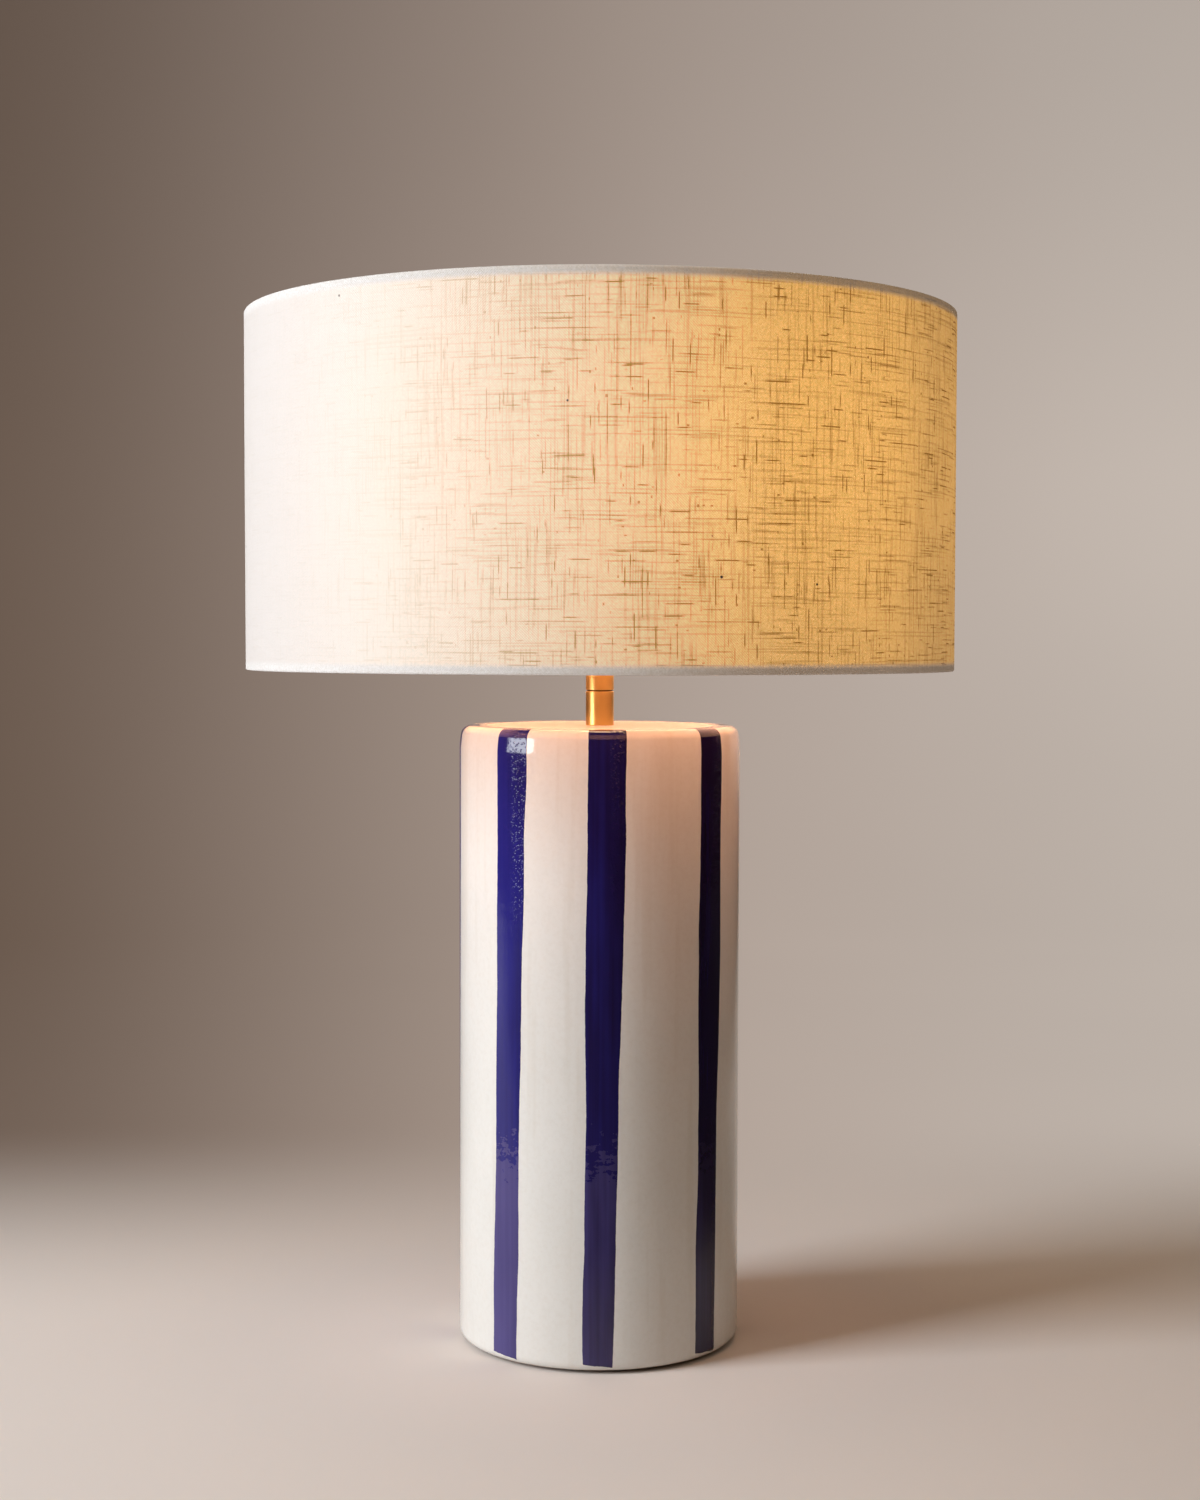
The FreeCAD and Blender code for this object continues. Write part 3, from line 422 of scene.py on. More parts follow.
def make_glaze(foot, top):
    """Ivory glaze over painted cobalt strokes, on a body between two heights."""
    made, shader, place = new_finish("painted_glaze", IOR=1.45)
    here = place["Object"]
    height = parts(here)[2]
    stripes = use_group(PAINTED_STRIPES, here)
    pool = use_group(MOTTLE, here, Scale=16.0, Fine_Scale=260.0)
    pits = use_group(SPECKS, here, Per_Metre=42.0, Size=0.022, Share=0.14)
    runs = stretched_noise(vector(bearing_of(here) * BODY_REACH, height), 95.0, 5.0, 3.0, 0.55)
    cloudy = noise(here, 380.0, 3.0, 0.65)
    ivory = tint(pool["Tone"], (0.698, 0.684, 0.640), (0.768, 0.759, 0.728))
    ivory = tint(step(runs, 0.52, 0.74, 0.0, 0.24), ivory, (0.60, 0.55, 0.47))
    ivory = tint(step(cloudy, 0.40, 0.72, 0.0, 0.12), ivory, (0.56, 0.50, 0.42))
    ivory = tint(pits["Mask"] * 0.75, ivory, (0.30, 0.24, 0.18))
    # the rim of the foot is bare clay
    edge = height + (runs - 0.5) * (1.2 * MM)
    bare = step(edge, foot + 0.6 * MM, foot + 1.2 * MM, 1.0, 0.0)
    ivory = tint(bare, ivory, (0.36, 0.235, 0.15))
    load = step(stripes["Load"], 0.0, 1.0)
    cobalt = tint(load, (0.020, 0.018, 0.188), (0.009, 0.0035, 0.029))
    # painted reflection: low on each stroke the cobalt turns paler, standing in for the pale floor's
    # reflection
    cobalt = tint(stripes["Painted Reflection"] * (load * -0.38 + 0.44), cobalt, (0.15, 0.12, 0.24))
    # the flat top is dusty, and the wall is wiped clean
    dusty = step(radius_of(here), 58.0 * MM, 74.0 * MM, 1.0, 0.0)
    dusty = dusty * step(height, top - 0.5 * MM, top - 0.1 * MM)
    gloss = pool["Tone"] * 0.05 + stripes["Mask"] * 0.01 + 0.035
    # the brushed pigment stands above the glaze, a little grainy, with beads where the glaze crawled
    grain = noise(here, 650.0, 3.0, 0.6)
    beads = use_group(SPECKS, here, Per_Metre=720.0, Size=0.5, Share=0.8)["Mask"] * stripes["Crawl"]
    pigment = (grain * 0.03 + beads * 0.30 + 0.20) * stripes["Mask"]
    relief = pigment + runs * 0.22 + pool["Height"] * 1.2
    colour = tint(stripes["Mask"], ivory, cobalt)
    set_surface(shader, colour, dusty * 0.34 + gloss, relief, 0.35 * MM)
    return made


def make_turned_metal(name, dull, bright, roughness, rings, shade_radius=None):
    """Metal with the marks of turning, its tone wandering between dull and bright.

    Inside the given radius, in grooves and bores, it is painted dark: painted shade in the recesses.
    """
    made, shader, place = new_finish(name, Metallic=1.0)
    here = place["Object"]
    marks = use_group(TURNING_MARKS, here, Rings_Per_Metre=rings)
    tone = tint(marks["Tone"], dull, bright)
    if shade_radius:
        # painted shade: grooves and bores inside the given radius turn nearly black
        groove_shade = step(radius_of(here), shade_radius - 0.55 * MM, shade_radius - 0.08 * MM, 0.90, 0.0)
        tone = tint(groove_shade, tone, (0.06, 0.022, 0.006))
    worn = marks["Tone"] * 0.16 + (roughness - 0.08)
    set_surface(shader, tone, worn, marks["Height"], 0.02 * MM)
    return made


def make_moulded(name, shade, light, roughness, depth):
    """Moulded, fired or sprayed surface: nearly even, with a faint uneven skin."""
    made, shader, place = new_finish(name)
    here = place["Object"]
    skin = use_group(MOTTLE, here, Scale=60.0, Fine_Scale=1400.0)
    dust = use_group(SPECKS, here, Per_Metre=160.0, Size=0.05, Share=0.1)
    tone = tint(dust["Mask"] * 0.3, tint(skin["Tone"], shade, light), (0.25, 0.22, 0.18))
    set_surface(shader, tone, skin["Tone"] * 0.14 + (roughness - 0.07), skin["Height"], depth)
    return made


def make_felt():
    """Dense wool felt with loose fibres."""
    made, shader, place = new_finish("wool_felt", Sheen_Weight=0.3, Sheen_Roughness=0.6)
    here = place["Object"]
    lint = use_group(SPECKS, here, Per_Metre=220.0, Size=0.12, Share=0.3)
    fibres = noise(here, 1900.0, 4.0, 0.7)
    tone = tint(fibres, (0.070, 0.043, 0.029), (0.150, 0.098, 0.068))
    tone = tint(lint["Mask"] * 0.5, tone, (0.26, 0.20, 0.15))
    set_surface(shader, tone, fibres * 0.1 + 0.88, fibres, 0.25 * MM)
    return made


def weave_on(pattern):
    """The shade's weave on its flat pattern."""
    return use_group(
        PLAIN_WEAVE, pattern, Threads_Per_Metre=THREADS_PER_METRE, Slub_Threshold=SLUB_THRESHOLD
    )


def make_shade_linen(low, high):
    """Slubby linen with a painted glow that stands in for the bulb's light from behind; its folded hems
    let little light through.
    """
    made, shader, place = new_finish(
        "shade_linen", Sheen_Weight=0.2, Sheen_Roughness=0.5, Emission_Strength=1.0
    )
    here = place["Object"]
    height = parts(here)[2]
    bearing = bearing_of(here)
    cloth = weave_on(place["UV"])
    threads = cloth["Threads"]
    motes = use_group(SPECKS, place["UV"], Per_Metre=55.0, Size=0.05, Share=0.35)["Mask"]
    # painted light: on the side that faces the daylight the glow and the threads' contrast are turned down
    # by bearing, standing in for daylight washing them out
    facing_day = calc("MAXIMUM", calc("COSINE", bearing - WASHED_BEARING), 0.0)
    through = facing_day * -0.93 + 1.0
    told = step(through, 0.12, 0.86, 0.06, 1.0)
    slubs = calc("MINIMUM", cloth["Slubs"] * (told * 1.22), 0.9)
    dim = slubs * 0.92 + (threads * -0.27 + 0.27) * told
    linen = tint(dim, (0.674, 0.640, 0.616), (0.47, 0.290, 0.050))
    linen = tint(motes, linen, (0.10, 0.07, 0.05))

    # the hems are folded double over the hoops, and fray into the lit cloth
    frayed = height + (threads - 0.5) * (1.2 * MM)
    low_edge = low + HEM_EDGE
    high_edge = high - HEM_EDGE
    above_low = step(frayed, low_edge - 1.9 * MM, low_edge + 1.5 * MM)
    clear = above_low * step(frayed, high_edge - 1.5 * MM, high_edge + 1.9 * MM, 1.0, 0.0)
    double = 1.0 - clear
    lets_through = double * step(height, low, high, 0.21, 0.25) + clear
    hem_tone = tint(threads, (0.68, 0.64, 0.595), (0.82, 0.805, 0.795))

    from_bulb = (height - BULB_HEIGHT) / CLOTH_GLOW_REACH
    glow = through / (from_bulb * from_bulb + 1.0)
    # the cloth passes less light where it is seen edge on
    facing = put(made.node_tree, "ShaderNodeLayerWeight", {"Blend": 0.5})["Facing"]
    glow = glow * step(facing, 0.38, 0.66, 1.0, 0.80)
    opened = tint(threads, (0.55, 0.312, 0.042), (1.0, 0.462, 0.106))
    warmth = tint(slubs, opened, (0.175, 0.052, 0.003))
    # the doubled cloth of the hems passes a paler glow, palest at the bottom
    pale = double * step(height, low, high, 0.8, 0.35)
    warmth = tint(pale, warmth, (0.86, 0.58, 0.40))
    lit = tint(glow * lets_through * (1.0 - motes), BLACK, warmth)
    # painted glow: daylight that entered at the left is painted as coming out through the front of the
    # cloth
    early = step(bearing, math.radians(-56), math.radians(-31))
    day = early * step(bearing, math.radians(-30), math.radians(28), 1.0, 0.0)
    daylit = tint(day * clear * (1.0 - slubs), BLACK, (0.085, 0.094, 0.092))
    set_surface(
        shader,
        tint(double, linen, hem_tone),
        threads * -0.1 + 0.95,
        threads * 0.8 + cloth["Height"],
        0.07 * MM,
        tint(1.0, lit, daylit, "ADD"),
    )
    return made


def make_shade_lining():
    """White lining with a painted glow that stands in for the bulb's strong light on it, with the cloth's
    threads showing through.
    """
    made, shader, place = new_finish("shade_lining", Emission_Strength=1.5)
    cloth = weave_on(place["UV"])
    threads = cloth["Threads"]
    slubs = cloth["Slubs"] * 0.25
    from_bulb = (parts(place["Object"])[2] - BULB_HEIGHT) / LINING_GLOW_REACH
    tone = tint(threads, (0.80, 0.725, 0.70), (0.90, 0.83, 0.83))
    tone = tint(slubs, tone, (0.60, 0.45, 0.30))
    # painted glow of the bulb's light, brightest level with the bulb
    glow = tint((1.0 - slubs) / (from_bulb * from_bulb + 1.0), BLACK, (0.94, 0.36, 0.17))
    set_surface(shader, tone, threads * 0.1 + 0.5, cloth["Height"], 0.03 * MM, glow)
    return made


def make_opal_glass():
    """Lit opal glass, brightest round the globe."""
    made, shader, place = new_finish("opal_glass", Emission_Strength=22.0, IOR=1.5)
    here = place["Object"]
    skin = use_group(MOTTLE, here, Scale=50.0, Fine_Scale=900.0)
    glass = tint(skin["Tone"], (0.88, 0.86, 0.82), (0.95, 0.94, 0.91))
    bright = step(parts(here)[2], 0.446, 0.495, 0.45, 1.0) * (skin["Tone"] * 0.1 + 0.95)
    glow = tint(bright, (0.20, 0.08, 0.015), (1.0, 0.62, 0.30))
    set_surface(shader, glass, skin["Tone"] * 0.06 + 0.08, skin["Height"], 0.03 * MM, glow)
    return made


def make_studio_paper():
    """Seamless paper: a lit floor round the lamp that fades into the paper behind it.

    What the camera sees of the paper behind is a painted glow: painted light, dark on the left and light
    on the right.
    """
    made, shader, place = new_finish("studio_paper", Roughness=0.9, Emission_Strength=1.0)
    here = place["Object"]
    across, deep, height = parts(here)
    ray = put(made.node_tree, "ShaderNodeLightPath")
    camera = ray["Is Camera Ray"]
    glossy = ray["Is Glossy Ray"]
    near = step(deep - across * 0.05, 0.02, 0.60, 1.0, 0.0)
    tone = noise(here, 1.6) * 0.06 + noise(here, 700.0) * 0.02 + 0.96
    # painted shade: for bounced and reflected rays the paper is painted dark where the pale floor ends, in
    # front of the lamp and on its right, standing in for a dark room
    further = glossy * -0.37 + 0.25
    in_front = step(deep + further, -0.50, -0.22, 1.0, 0.0)
    at_side = calc("MAXIMUM", glossy, step(deep, 0.2, 0.6, 1.0, 0.0))
    beside = step(across - further, 0.30, 0.55) * at_side
    dark = calc("MAXIMUM", in_front, beside) * (1.0 - camera)
    paint = tint((dark * -0.9 + 1.0) * tone, BLACK, tint(near, PAPER_BEHIND, PAPER_NEAR))
    wire(shader.inputs["Base Color"], paint)

    # painted light: the glow behind fans out from left to right, and is painted falling off upwards and
    # low on the right
    fan = across / (deep - FAN_POINT)
    behind = tint(step(fan, -0.30, 0.08), BEHIND_LEFT, BEHIND_MIDDLE)
    behind = tint(step(fan, -0.06, 0.30), behind, BEHIND_RIGHT)
    low_right = step(height, 0.0, 0.7, 1.0, 0.0) * step(fan, 0.0, 0.25)
    painted_falloff = low_right * -0.11 + step(height, 0.5, 1.6, 1.0, 0.80)
    # painted reflection: glossy rays see the painted glow taken away at the far right, low down, standing
    # in for the dark room
    unlit = step(across, 0.35, 0.9) * step(height, 0.10, 0.24, 1.0, 0.0)
    seen = calc("MAXIMUM", camera, glossy * (unlit * -0.9 + 1.0))
    wire(shader.inputs["Emission Color"], tint(seen * (1.0 - near) * painted_falloff * tone, BLACK, behind))
    return made


# making meshes


def in_scene(name, data):
    """A new object in the scene."""
    thing = bpy.data.objects.new(name, data)
    bpy.context.collection.objects.link(thing)
    return thing


def built_mesh(name, build):
    """What was built, as a mesh."""
    mesh = bpy.data.meshes.new(name)
    build.to_mesh(mesh)
    build.free()
    return mesh


def rounded(corners):
    """Points of a closed outline of (radius, height, rounding) corners, each rounded off with flats.

    A holding point on each side of a rounding keeps the faces beside it flat when they are shaded smooth.
    """
    count = len(corners)
    places = [Vector(corner[:2]) for corner in corners]
    turns = []
    for number, corner in enumerate(corners):
        back = (places[number - 1] - places[number]).normalized()
        onward = (places[(number + 1) % count] - places[number]).normalized()
        half = back.angle(onward) / 2
        turns.append((back, onward, half, corner[2] / math.tan(half)))
    points = []
    for number, (back, onward, half, cut) in enumerate(turns):
        here = places[number]
        rounding = corners[number][2]
        if rounding == 0:
            points.append(here)
            continue
        following = (number + 1) % count
        room_back = (places[number - 1] - here).length - cut - turns[number - 1][3]
        room_onward = (places[following] - here).length - cut - turns[following][3]
        centre = here + (back + onward).normalized() * (rounding / math.sin(half))
        first = here + back * cut - centre
        sweep = first.angle_signed(here + onward * cut - centre)
        points.append(here + back * (cut + min(HOLD_SHARE * rounding, room_back / 3)))
        for place in range(SOFT_EDGE_FLATS + 1):
            turn = Matrix.Rotation(-sweep * place / SOFT_EDGE_FLATS, 2)
            points.append(centre + turn @ first)
        points.append(here + onward * (cut + min(HOLD_SHARE * rounding, room_onward / 3)))
    return points


def band(inner, outer, low, high, roundings):
    """The outline of a plain band, its corners rounded from inner low over outer to inner high."""
    corners = [(inner, low), (outer, low), (outer, high), (inner, high)]
    return rounded([(*corner, rounding) for corner, rounding in zip(corners, roundings)])


def arc(centre, radii, start, end, flats):
    """Points of a round or oval arc from one angle to another."""
    points = []
    for place in range(flats + 1):
        angle = start + (end - start) * place / flats
        reach = Vector((radii[0] * math.cos(angle), radii[1] * math.sin(angle)))
        points.append(Vector(centre) + reach)
    return points


def even_angles(flats):
    """Angles of evenly spaced flats; zero is the front, and the count goes to the right."""
    return [FULL_TURN * place / flats for place in range(flats)]


def turned_mesh(name, outline, angles, shape=None):
    """A closed mesh made by turning an outline of (radius, height) points about Z.

    shape(radius, height, angle) may give a point another radius, as for flutes.
    """
    build = bmesh.new()
    rings = []
    for across, up in outline:
        if across < ON_AXIS:
            rings.append([build.verts.new((0, 0, up))])
            continue
        ring = []
        for angle in angles:
            reach = shape(across, up, angle) if shape else across
            ring.append(build.verts.new((reach * math.sin(angle), -reach * math.cos(angle), up)))
        rings.append(ring)
    for number, ring in enumerate(rings):
        following = rings[(number + 1) % len(rings)]
        for place in range(len(angles)):
            beside = (place + 1) % len(angles)
            if len(ring) == 1 and len(following) == 1:
                break
            if len(ring) == 1:
                build.faces.new((ring[0], following[place], following[beside]))
            elif len(following) == 1:
                build.faces.new((ring[place], following[0], ring[beside]))
            else:
                build.faces.new((ring[place], ring[beside], following[beside], following[place]))
    bmesh.ops.recalc_face_normals(build, faces=build.faces[:])
    return built_mesh(name, build)


def place_piece(name, mesh, finish, body, slot, *nodes):
    """Put a finished mesh in the scene: its material, the body it rides on, and the nodes it stands for.

    It is shaded smooth, apart from its sharp edges.
    """
    mesh.shade_smooth()
    mesh.set_sharp_from_angle(angle=SHARP_EDGE)
    mesh.materials.clear()
    mesh.materials.append(finish)
    piece = in_scene(name, mesh)
    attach(piece, body)
    if nodes:
        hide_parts(*nodes)
    return piece


def turn_piece(name, outline, finish, body, slot, node, flats=TURN_FLATS):
    """Turn an outline about Z and put it in the scene for a node."""
    place_piece(name, turned_mesh(name, outline, even_angles(flats)), finish, body, slot, node)


def plain_mesh(thing, name):
    """The thing's evaluated shape as a plain mesh; the thing itself is removed."""
    bpy.context.view_layer.update()
    depsgraph = bpy.context.evaluated_depsgraph_get()
    mesh = bpy.data.meshes.new_from_object(thing.evaluated_get(depsgraph), depsgraph=depsgraph)
    mesh.name = name
    old = thing.data
    bpy.data.objects.remove(thing)
    bpy.data.meshes.remove(old)
    return mesh


def span(node):
    """A node's outer radius, lowest and highest height."""
    low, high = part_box(node)
    return high.x, low.z, high.z


def add_cloth_pattern(mesh, radius):
    """A flat pattern in metres round a drum: along the cloth, then up it.

    Over its edges and inside, the pattern goes on by a share of the depth.
    """
    layer = mesh.uv_layers.new(name="cloth")
    for face in mesh.polygons:
        places = [mesh.vertices[number].co for number in face.vertices]
        bearings = [math.atan2(place.x, -place.y) for place in places]
        wraps = max(bearings) - min(bearings) > math.pi
        for loop, place, bearing in zip(face.loop_indices, places, bearings):
            turned = bearing + FULL_TURN if wraps and bearing < 0 else bearing
            depth = radius - place.xy.length
            layer.data[loop].uv = (turned * radius, place.z + depth * 0.35)


# geometry node trees for what follows a path or repeats


def grow(name, tree, values, base=None):
    """Run a geometry tree with its named values and keep the result as a plain mesh."""
    thing = in_scene(name, base or bpy.data.meshes.new(name))
    modifier = thing.modifiers.new(name, "NODES")
    modifier.node_group = tree
    sockets = {
        item.name: item.identifier
        for item in tree.interface.items_tree
        if item.item_type == "SOCKET" and item.in_out == "INPUT"
    }
    for label, value in values.items():
        modifier[sockets[label]] = value
    return plain_mesh(thing, name)


def round_wire(path, radius, flats):
    """Solid round wire along a path."""
    section = put(path.tree, "GeometryNodeCurvePrimitiveCircle", {"Resolution": flats, "Radius": radius})
    sweep = {"Curve": path, "Profile Curve": section["Curve"], "Fill Caps": True}
    return put(path.tree, "GeometryNodeCurveToMesh", sweep)["Mesh"]


def give_shape(socket, shape, finish):
    """End a geometry tree: the copies made real, and their finish."""
    real = put(shape.tree, "GeometryNodeRealizeInstances", {"Geometry": shape})["Geometry"]
    dressed = put(shape.tree, "GeometryNodeSetMaterial", {"Geometry": real, "Material": finish})
    wire(socket, dressed["Geometry"])


def make_thread_tree():
    """A round bead wound along a helix, for a rolled or moulded thread."""
    tree, given, made = new_group(
        "wound_thread",
        {
            "Geometry": "Geometry",
            "Radius": 0.01,
            "Pitch": 0.003,
            "Turns": 4.0,
            "Bead": 0.001,
            "Foot": 0.0,
            "Finish": "Material",
        },
        ["Geometry"],
        "Geometry",
    )
    helix = {
        "Resolution": 56,
        "Rotations": given["Turns"],
        "Start Radius": given["Radius"],
        "End Radius": given["Radius"],
        "Height": given["Pitch"] * given["Turns"],
    }
    path = put(tree, "GeometryNodeCurveSpiral", helix)["Curve"]
    bead = round_wire(path, given["Bead"], 10)
    lifted = {"Geometry": bead, "Translation": vector(0.0, 0.0, given["Foot"])}
    moved = put(tree, "GeometryNodeTransform", lifted)["Geometry"]
    give_shape(made["Geometry"], moved, given["Finish"])
    return tree


def make_arm_tree():
    """Wire bent at the corners of a path and repeated round Z."""
    tree, given, made = new_group(
        "bent_arms",
        {
            "Geometry": "Geometry",
            "Wire": 0.00175,
            "Bend": 0.014,
            "Count": 3,
            "First Angle": 0.0,
            "Finish": "Material",
        },
        ["Geometry"],
        "Geometry",
    )
    path = put(tree, "GeometryNodeMeshToCurve", {"Mesh": given["Geometry"]})["Curve"]
    corners = {"Curve": path, "Count": 10, "Radius": given["Bend"]}
    bent = put(tree, "GeometryNodeFilletCurve", corners, mode="POLY")["Curve"]
    spots = put(tree, "GeometryNodePoints", {"Count": given["Count"]})["Points"]
    number = put(tree, "GeometryNodeInputIndex")["Index"]
    angle = number / given["Count"] * FULL_TURN + given["First Angle"]
    copies = {
        "Points": spots,
        "Instance": round_wire(bent, given["Wire"], 20),
        "Rotation": vector(0.0, 0.0, angle),
    }
    arms = put(tree, "GeometryNodeInstanceOnPoints", copies)["Instances"]
    give_shape(made["Geometry"], arms, given["Finish"])
    return tree


# camera, lights and studio


def set_camera():
    """The photograph's own viewpoint."""
    data = bpy.data.cameras.new("photograph_view")
    data.sensor_fit = "VERTICAL"
    data.sensor_width = CAMERA_SENSOR
    data.sensor_height = CAMERA_SENSOR
    data.lens = CAMERA_LENS
    data.clip_start = 0.05
    data.clip_end = 50.0
    camera = in_scene("photograph_view", data)
    camera.location = CAMERA_PLACE
    camera.rotation_euler = (math.pi / 2 - CAMERA_PITCH, CAMERA_ROLL, 0.0)
    bpy.context.scene.camera = camera


def hang_window():
    """Tall soft window on the left, its sill a little below the top of the lamp's body."""
    light = bpy.data.lights.new("window", "AREA")
    light.shape = "RECTANGLE"
    light.size = WINDOW_WIDTH
    light.size_y = WINDOW_HEIGHT
    light.energy = 78.0
    light.color = (0.92, 0.955, 1.0)
    panel = in_scene("window", light)
    across = WINDOW_REACH * math.sin(WINDOW_BEARING)
    panel.location = (across, -WINDOW_REACH * math.cos(WINDOW_BEARING), WINDOW_MIDDLE)
    panel.rotation_euler = (math.pi / 2, 0.0, WINDOW_BEARING)
    panel.visible_camera = False


def set_room_light():
    """Warm light of the room, stronger from above, and dim for glossy rays."""
    world = bpy.data.worlds.new("room")
    world.use_nodes = True
    room = world.node_tree
    sky = room.nodes["Background"]
    high = step(parts(put(room, "ShaderNodeTexCoord")["Generated"])[2], 0.15, 0.85)
    ray = put(room, "ShaderNodeLightPath")
    colour = tint(high, (0.060, 0.043, 0.027), (0.300, 0.247, 0.189))
    # past the edge of the paper the camera sees a plain pale tone
    wire(sky.inputs["Color"], tint(ray["Is Camera Ray"], colour, (0.43, 0.37, 0.32)))
    wire(sky.inputs["Strength"], ray["Is Glossy Ray"] * -0.60 + 1.0)
    bpy.context.scene.world = world


def build_studio():
    """Seamless paper that runs from the floor up behind the lamp, and soft window light from the left."""
    floor_front = -2.6
    floor_back = 1.7
    sweep = 0.8
    top = 3.2
    half_width = 2.6
    bend = arc((floor_back, sweep), (sweep, sweep), -math.pi / 2, 0.0, 16)
    points = [(floor_front, 0.0), *bend, (floor_back + sweep, top)]
    build = bmesh.new()
    rows = []
    for depth, up in points:
        rows.append([build.verts.new((side * half_width, depth, up)) for side in (-1, 1)])
    for first, second in zip(rows, rows[1:]):
        build.faces.new((first[0], first[1], second[1], second[0]))
    mesh = built_mesh("studio_paper", build)
    mesh.shade_smooth()
    mesh.materials.append(make_studio_paper())
    paper = in_scene("studio_paper", mesh)

    hang_window()
    set_room_light()
    bpy.context.scene.view_settings.view_transform = "Standard"


# the lamp's pieces


def make_ceramic():
    """Slip-cast cylinder with the cord hole through the back of its wall."""
    outer, foot, top = span("ceramic_body")
    wall = 6.0 * MM
    access = 45.0 * MM
    stem = 5.9 * MM
    floor = foot + 7.0 * MM
    ceiling = top - 7.0 * MM
    # the wall leans in a little over its last centimetre, and then turns over
    lean = math.radians(7.5)
    lean_drop = 10.6 * MM
    outline = [
        (access, foot, 0.8 * MM),
        (outer, foot, 5.0 * MM),
        (outer, top - lean_drop, 62.0 * MM),
        (outer - lean_drop * math.tan(lean), top, 5.6 * MM),
        (stem, top, 0.5 * MM),
        (stem, ceiling, 0.5 * MM),
        (outer - wall, ceiling, 4.0 * MM),
        (outer - wall, floor, 4.0 * MM),
        (access, floor, 0.8 * MM),
    ]
    body = in_scene("ceramic", turned_mesh("ceramic", rounded(outline), even_angles(256)))
    hole = 6.0 * MM
    bar = [(0, 0.05), (hole, 0.05), (hole, 0.1), (0, 0.1)]
    cutter = in_scene("cord_hole", turned_mesh("cord_hole", bar, even_angles(192)))
    cutter.rotation_euler = (-math.pi / 2, 0, 0)
    cutter.location = (0, 0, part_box("cord_gland")[0].z + 8.5 * MM)
    cut = body.modifiers.new("cord_hole", "BOOLEAN")
    cut.operation = "DIFFERENCE"
    cut.solver = "EXACT"
    cut.object = cutter
    mesh = plain_mesh(body, "glazed_cylinder")
    bpy.data.objects.remove(cutter)
    place_piece("glazed_cylinder", mesh, make_glaze(foot, top), "lamp", "glaze", "ceramic_body")


def make_neck(brass):
    """Two turned brass pieces that meet at a fine groove."""
    outer, low, high = span("neck_lower")
    bore = 5.3 * MM
    lower = band(bore, outer, low, high, (0.2 * MM, 0.25 * MM, 0.2 * MM, 0.2 * MM))
    turn_piece("turned_neck_lower", lower, brass, "lamp", "neck_brass", "neck_lower", flats=96)
    outer, low, high = span("neck_upper")
    spigot = outer - 0.7 * MM
    groove = 0.8 * MM
    upper = [
        (bore, low, 0.1 * MM),
        (spigot, low, 0.1 * MM),
        (spigot, low + groove, 0),
        (outer, low + groove, 0.2 * MM),
        (outer, high, 0.3 * MM),
        (bore, high, 0.2 * MM),
    ]
    turn_piece("turned_neck_upper", rounded(upper), brass, "lamp", "neck_brass", "neck_upper", flats=96)


def make_felt_pad():
    """Felt disc under the foot, its edge a little soft."""
    outline = band(0, *span("felt_pad"), (0, 0.3 * MM, 0.3 * MM, 0))
    turn_piece("foot_felt", outline, make_felt(), "lamp", "felt", "felt_pad", flats=192)


def make_shade(linen, lining):
    """Cloth drum with rolled hems and a lapped seam behind, over a thin stiff lining."""
    outer, low, high = span("shade_fabric")
    thick = 0.6 * MM
    roll = 1.1 * MM
    lip = outer - 4.4 * MM
    hem = 5.4 * MM
    lap_half = math.radians(1.9)
    lap_step = math.radians(0.06)
    lap_edges = [
        math.pi + side * reach for side in (-1, 1) for reach in (lap_half + lap_step, lap_half)
    ]

    def lapped(reach, up, angle):
        """The cloth is double over the seam, and never quite round."""
        if reach < outer - thick / 2:
            return reach
        sway = 0.10 * MM * math.sin(3 * angle + 11 * up) + 0.05 * MM * math.sin(8 * angle - 23 * up)
        over_lap = abs(angle - math.pi) <= lap_half + lap_step / 2
        return reach - 0.15 * MM + sway * 0.6 + (0.45 * MM if over_lap else 0.0)

    corners = [
        (outer, low, roll),
        (outer, high, roll),
        (lip, high, roll),
        (lip, high - hem, 0.25 * MM),
        (lip + thick, high - hem, 0.25 * MM),
        (lip + thick, high - thick, 1.2 * MM),
        (outer - thick, high - thick, 1.2 * MM),
        (outer - thick, low + thick, 1.2 * MM),
        (lip + thick, low + thick, 1.2 * MM),
        (lip + thick, low + hem, 0.25 * MM),
        (lip, low + hem, 0.25 * MM),
        (lip, low, roll),
    ]
    # the tall faces are cut into bands, so that they can sway
    bands = 24
    tall = 0.05
    outline = []
    points = rounded(corners)
    for first, second in zip(points, points[1:] + points[:1]):
        outline.append(first)
        if abs(second.y - first.y) > tall:
            outline += [first.lerp(second, place / bands) for place in range(1, bands)]
    mesh = turned_mesh("linen_drum", outline, sorted(even_angles(360) + lap_edges), lapped)
    add_cloth_pattern(mesh, outer)
    drum = place_piece("linen_drum", mesh, linen, "shade", "shade_linen", "shade_fabric")

    outer, low, high = span("shade_liner")
    outline = band(outer - 0.4 * MM, outer, low, high, (0, 0, 0, 0))
    mesh = turned_mesh("drum_lining", outline, even_angles(360))
    add_cloth_pattern(mesh, outer)
    place_piece("drum_lining", mesh, lining, "shade", "shade_lining", "shade_liner")


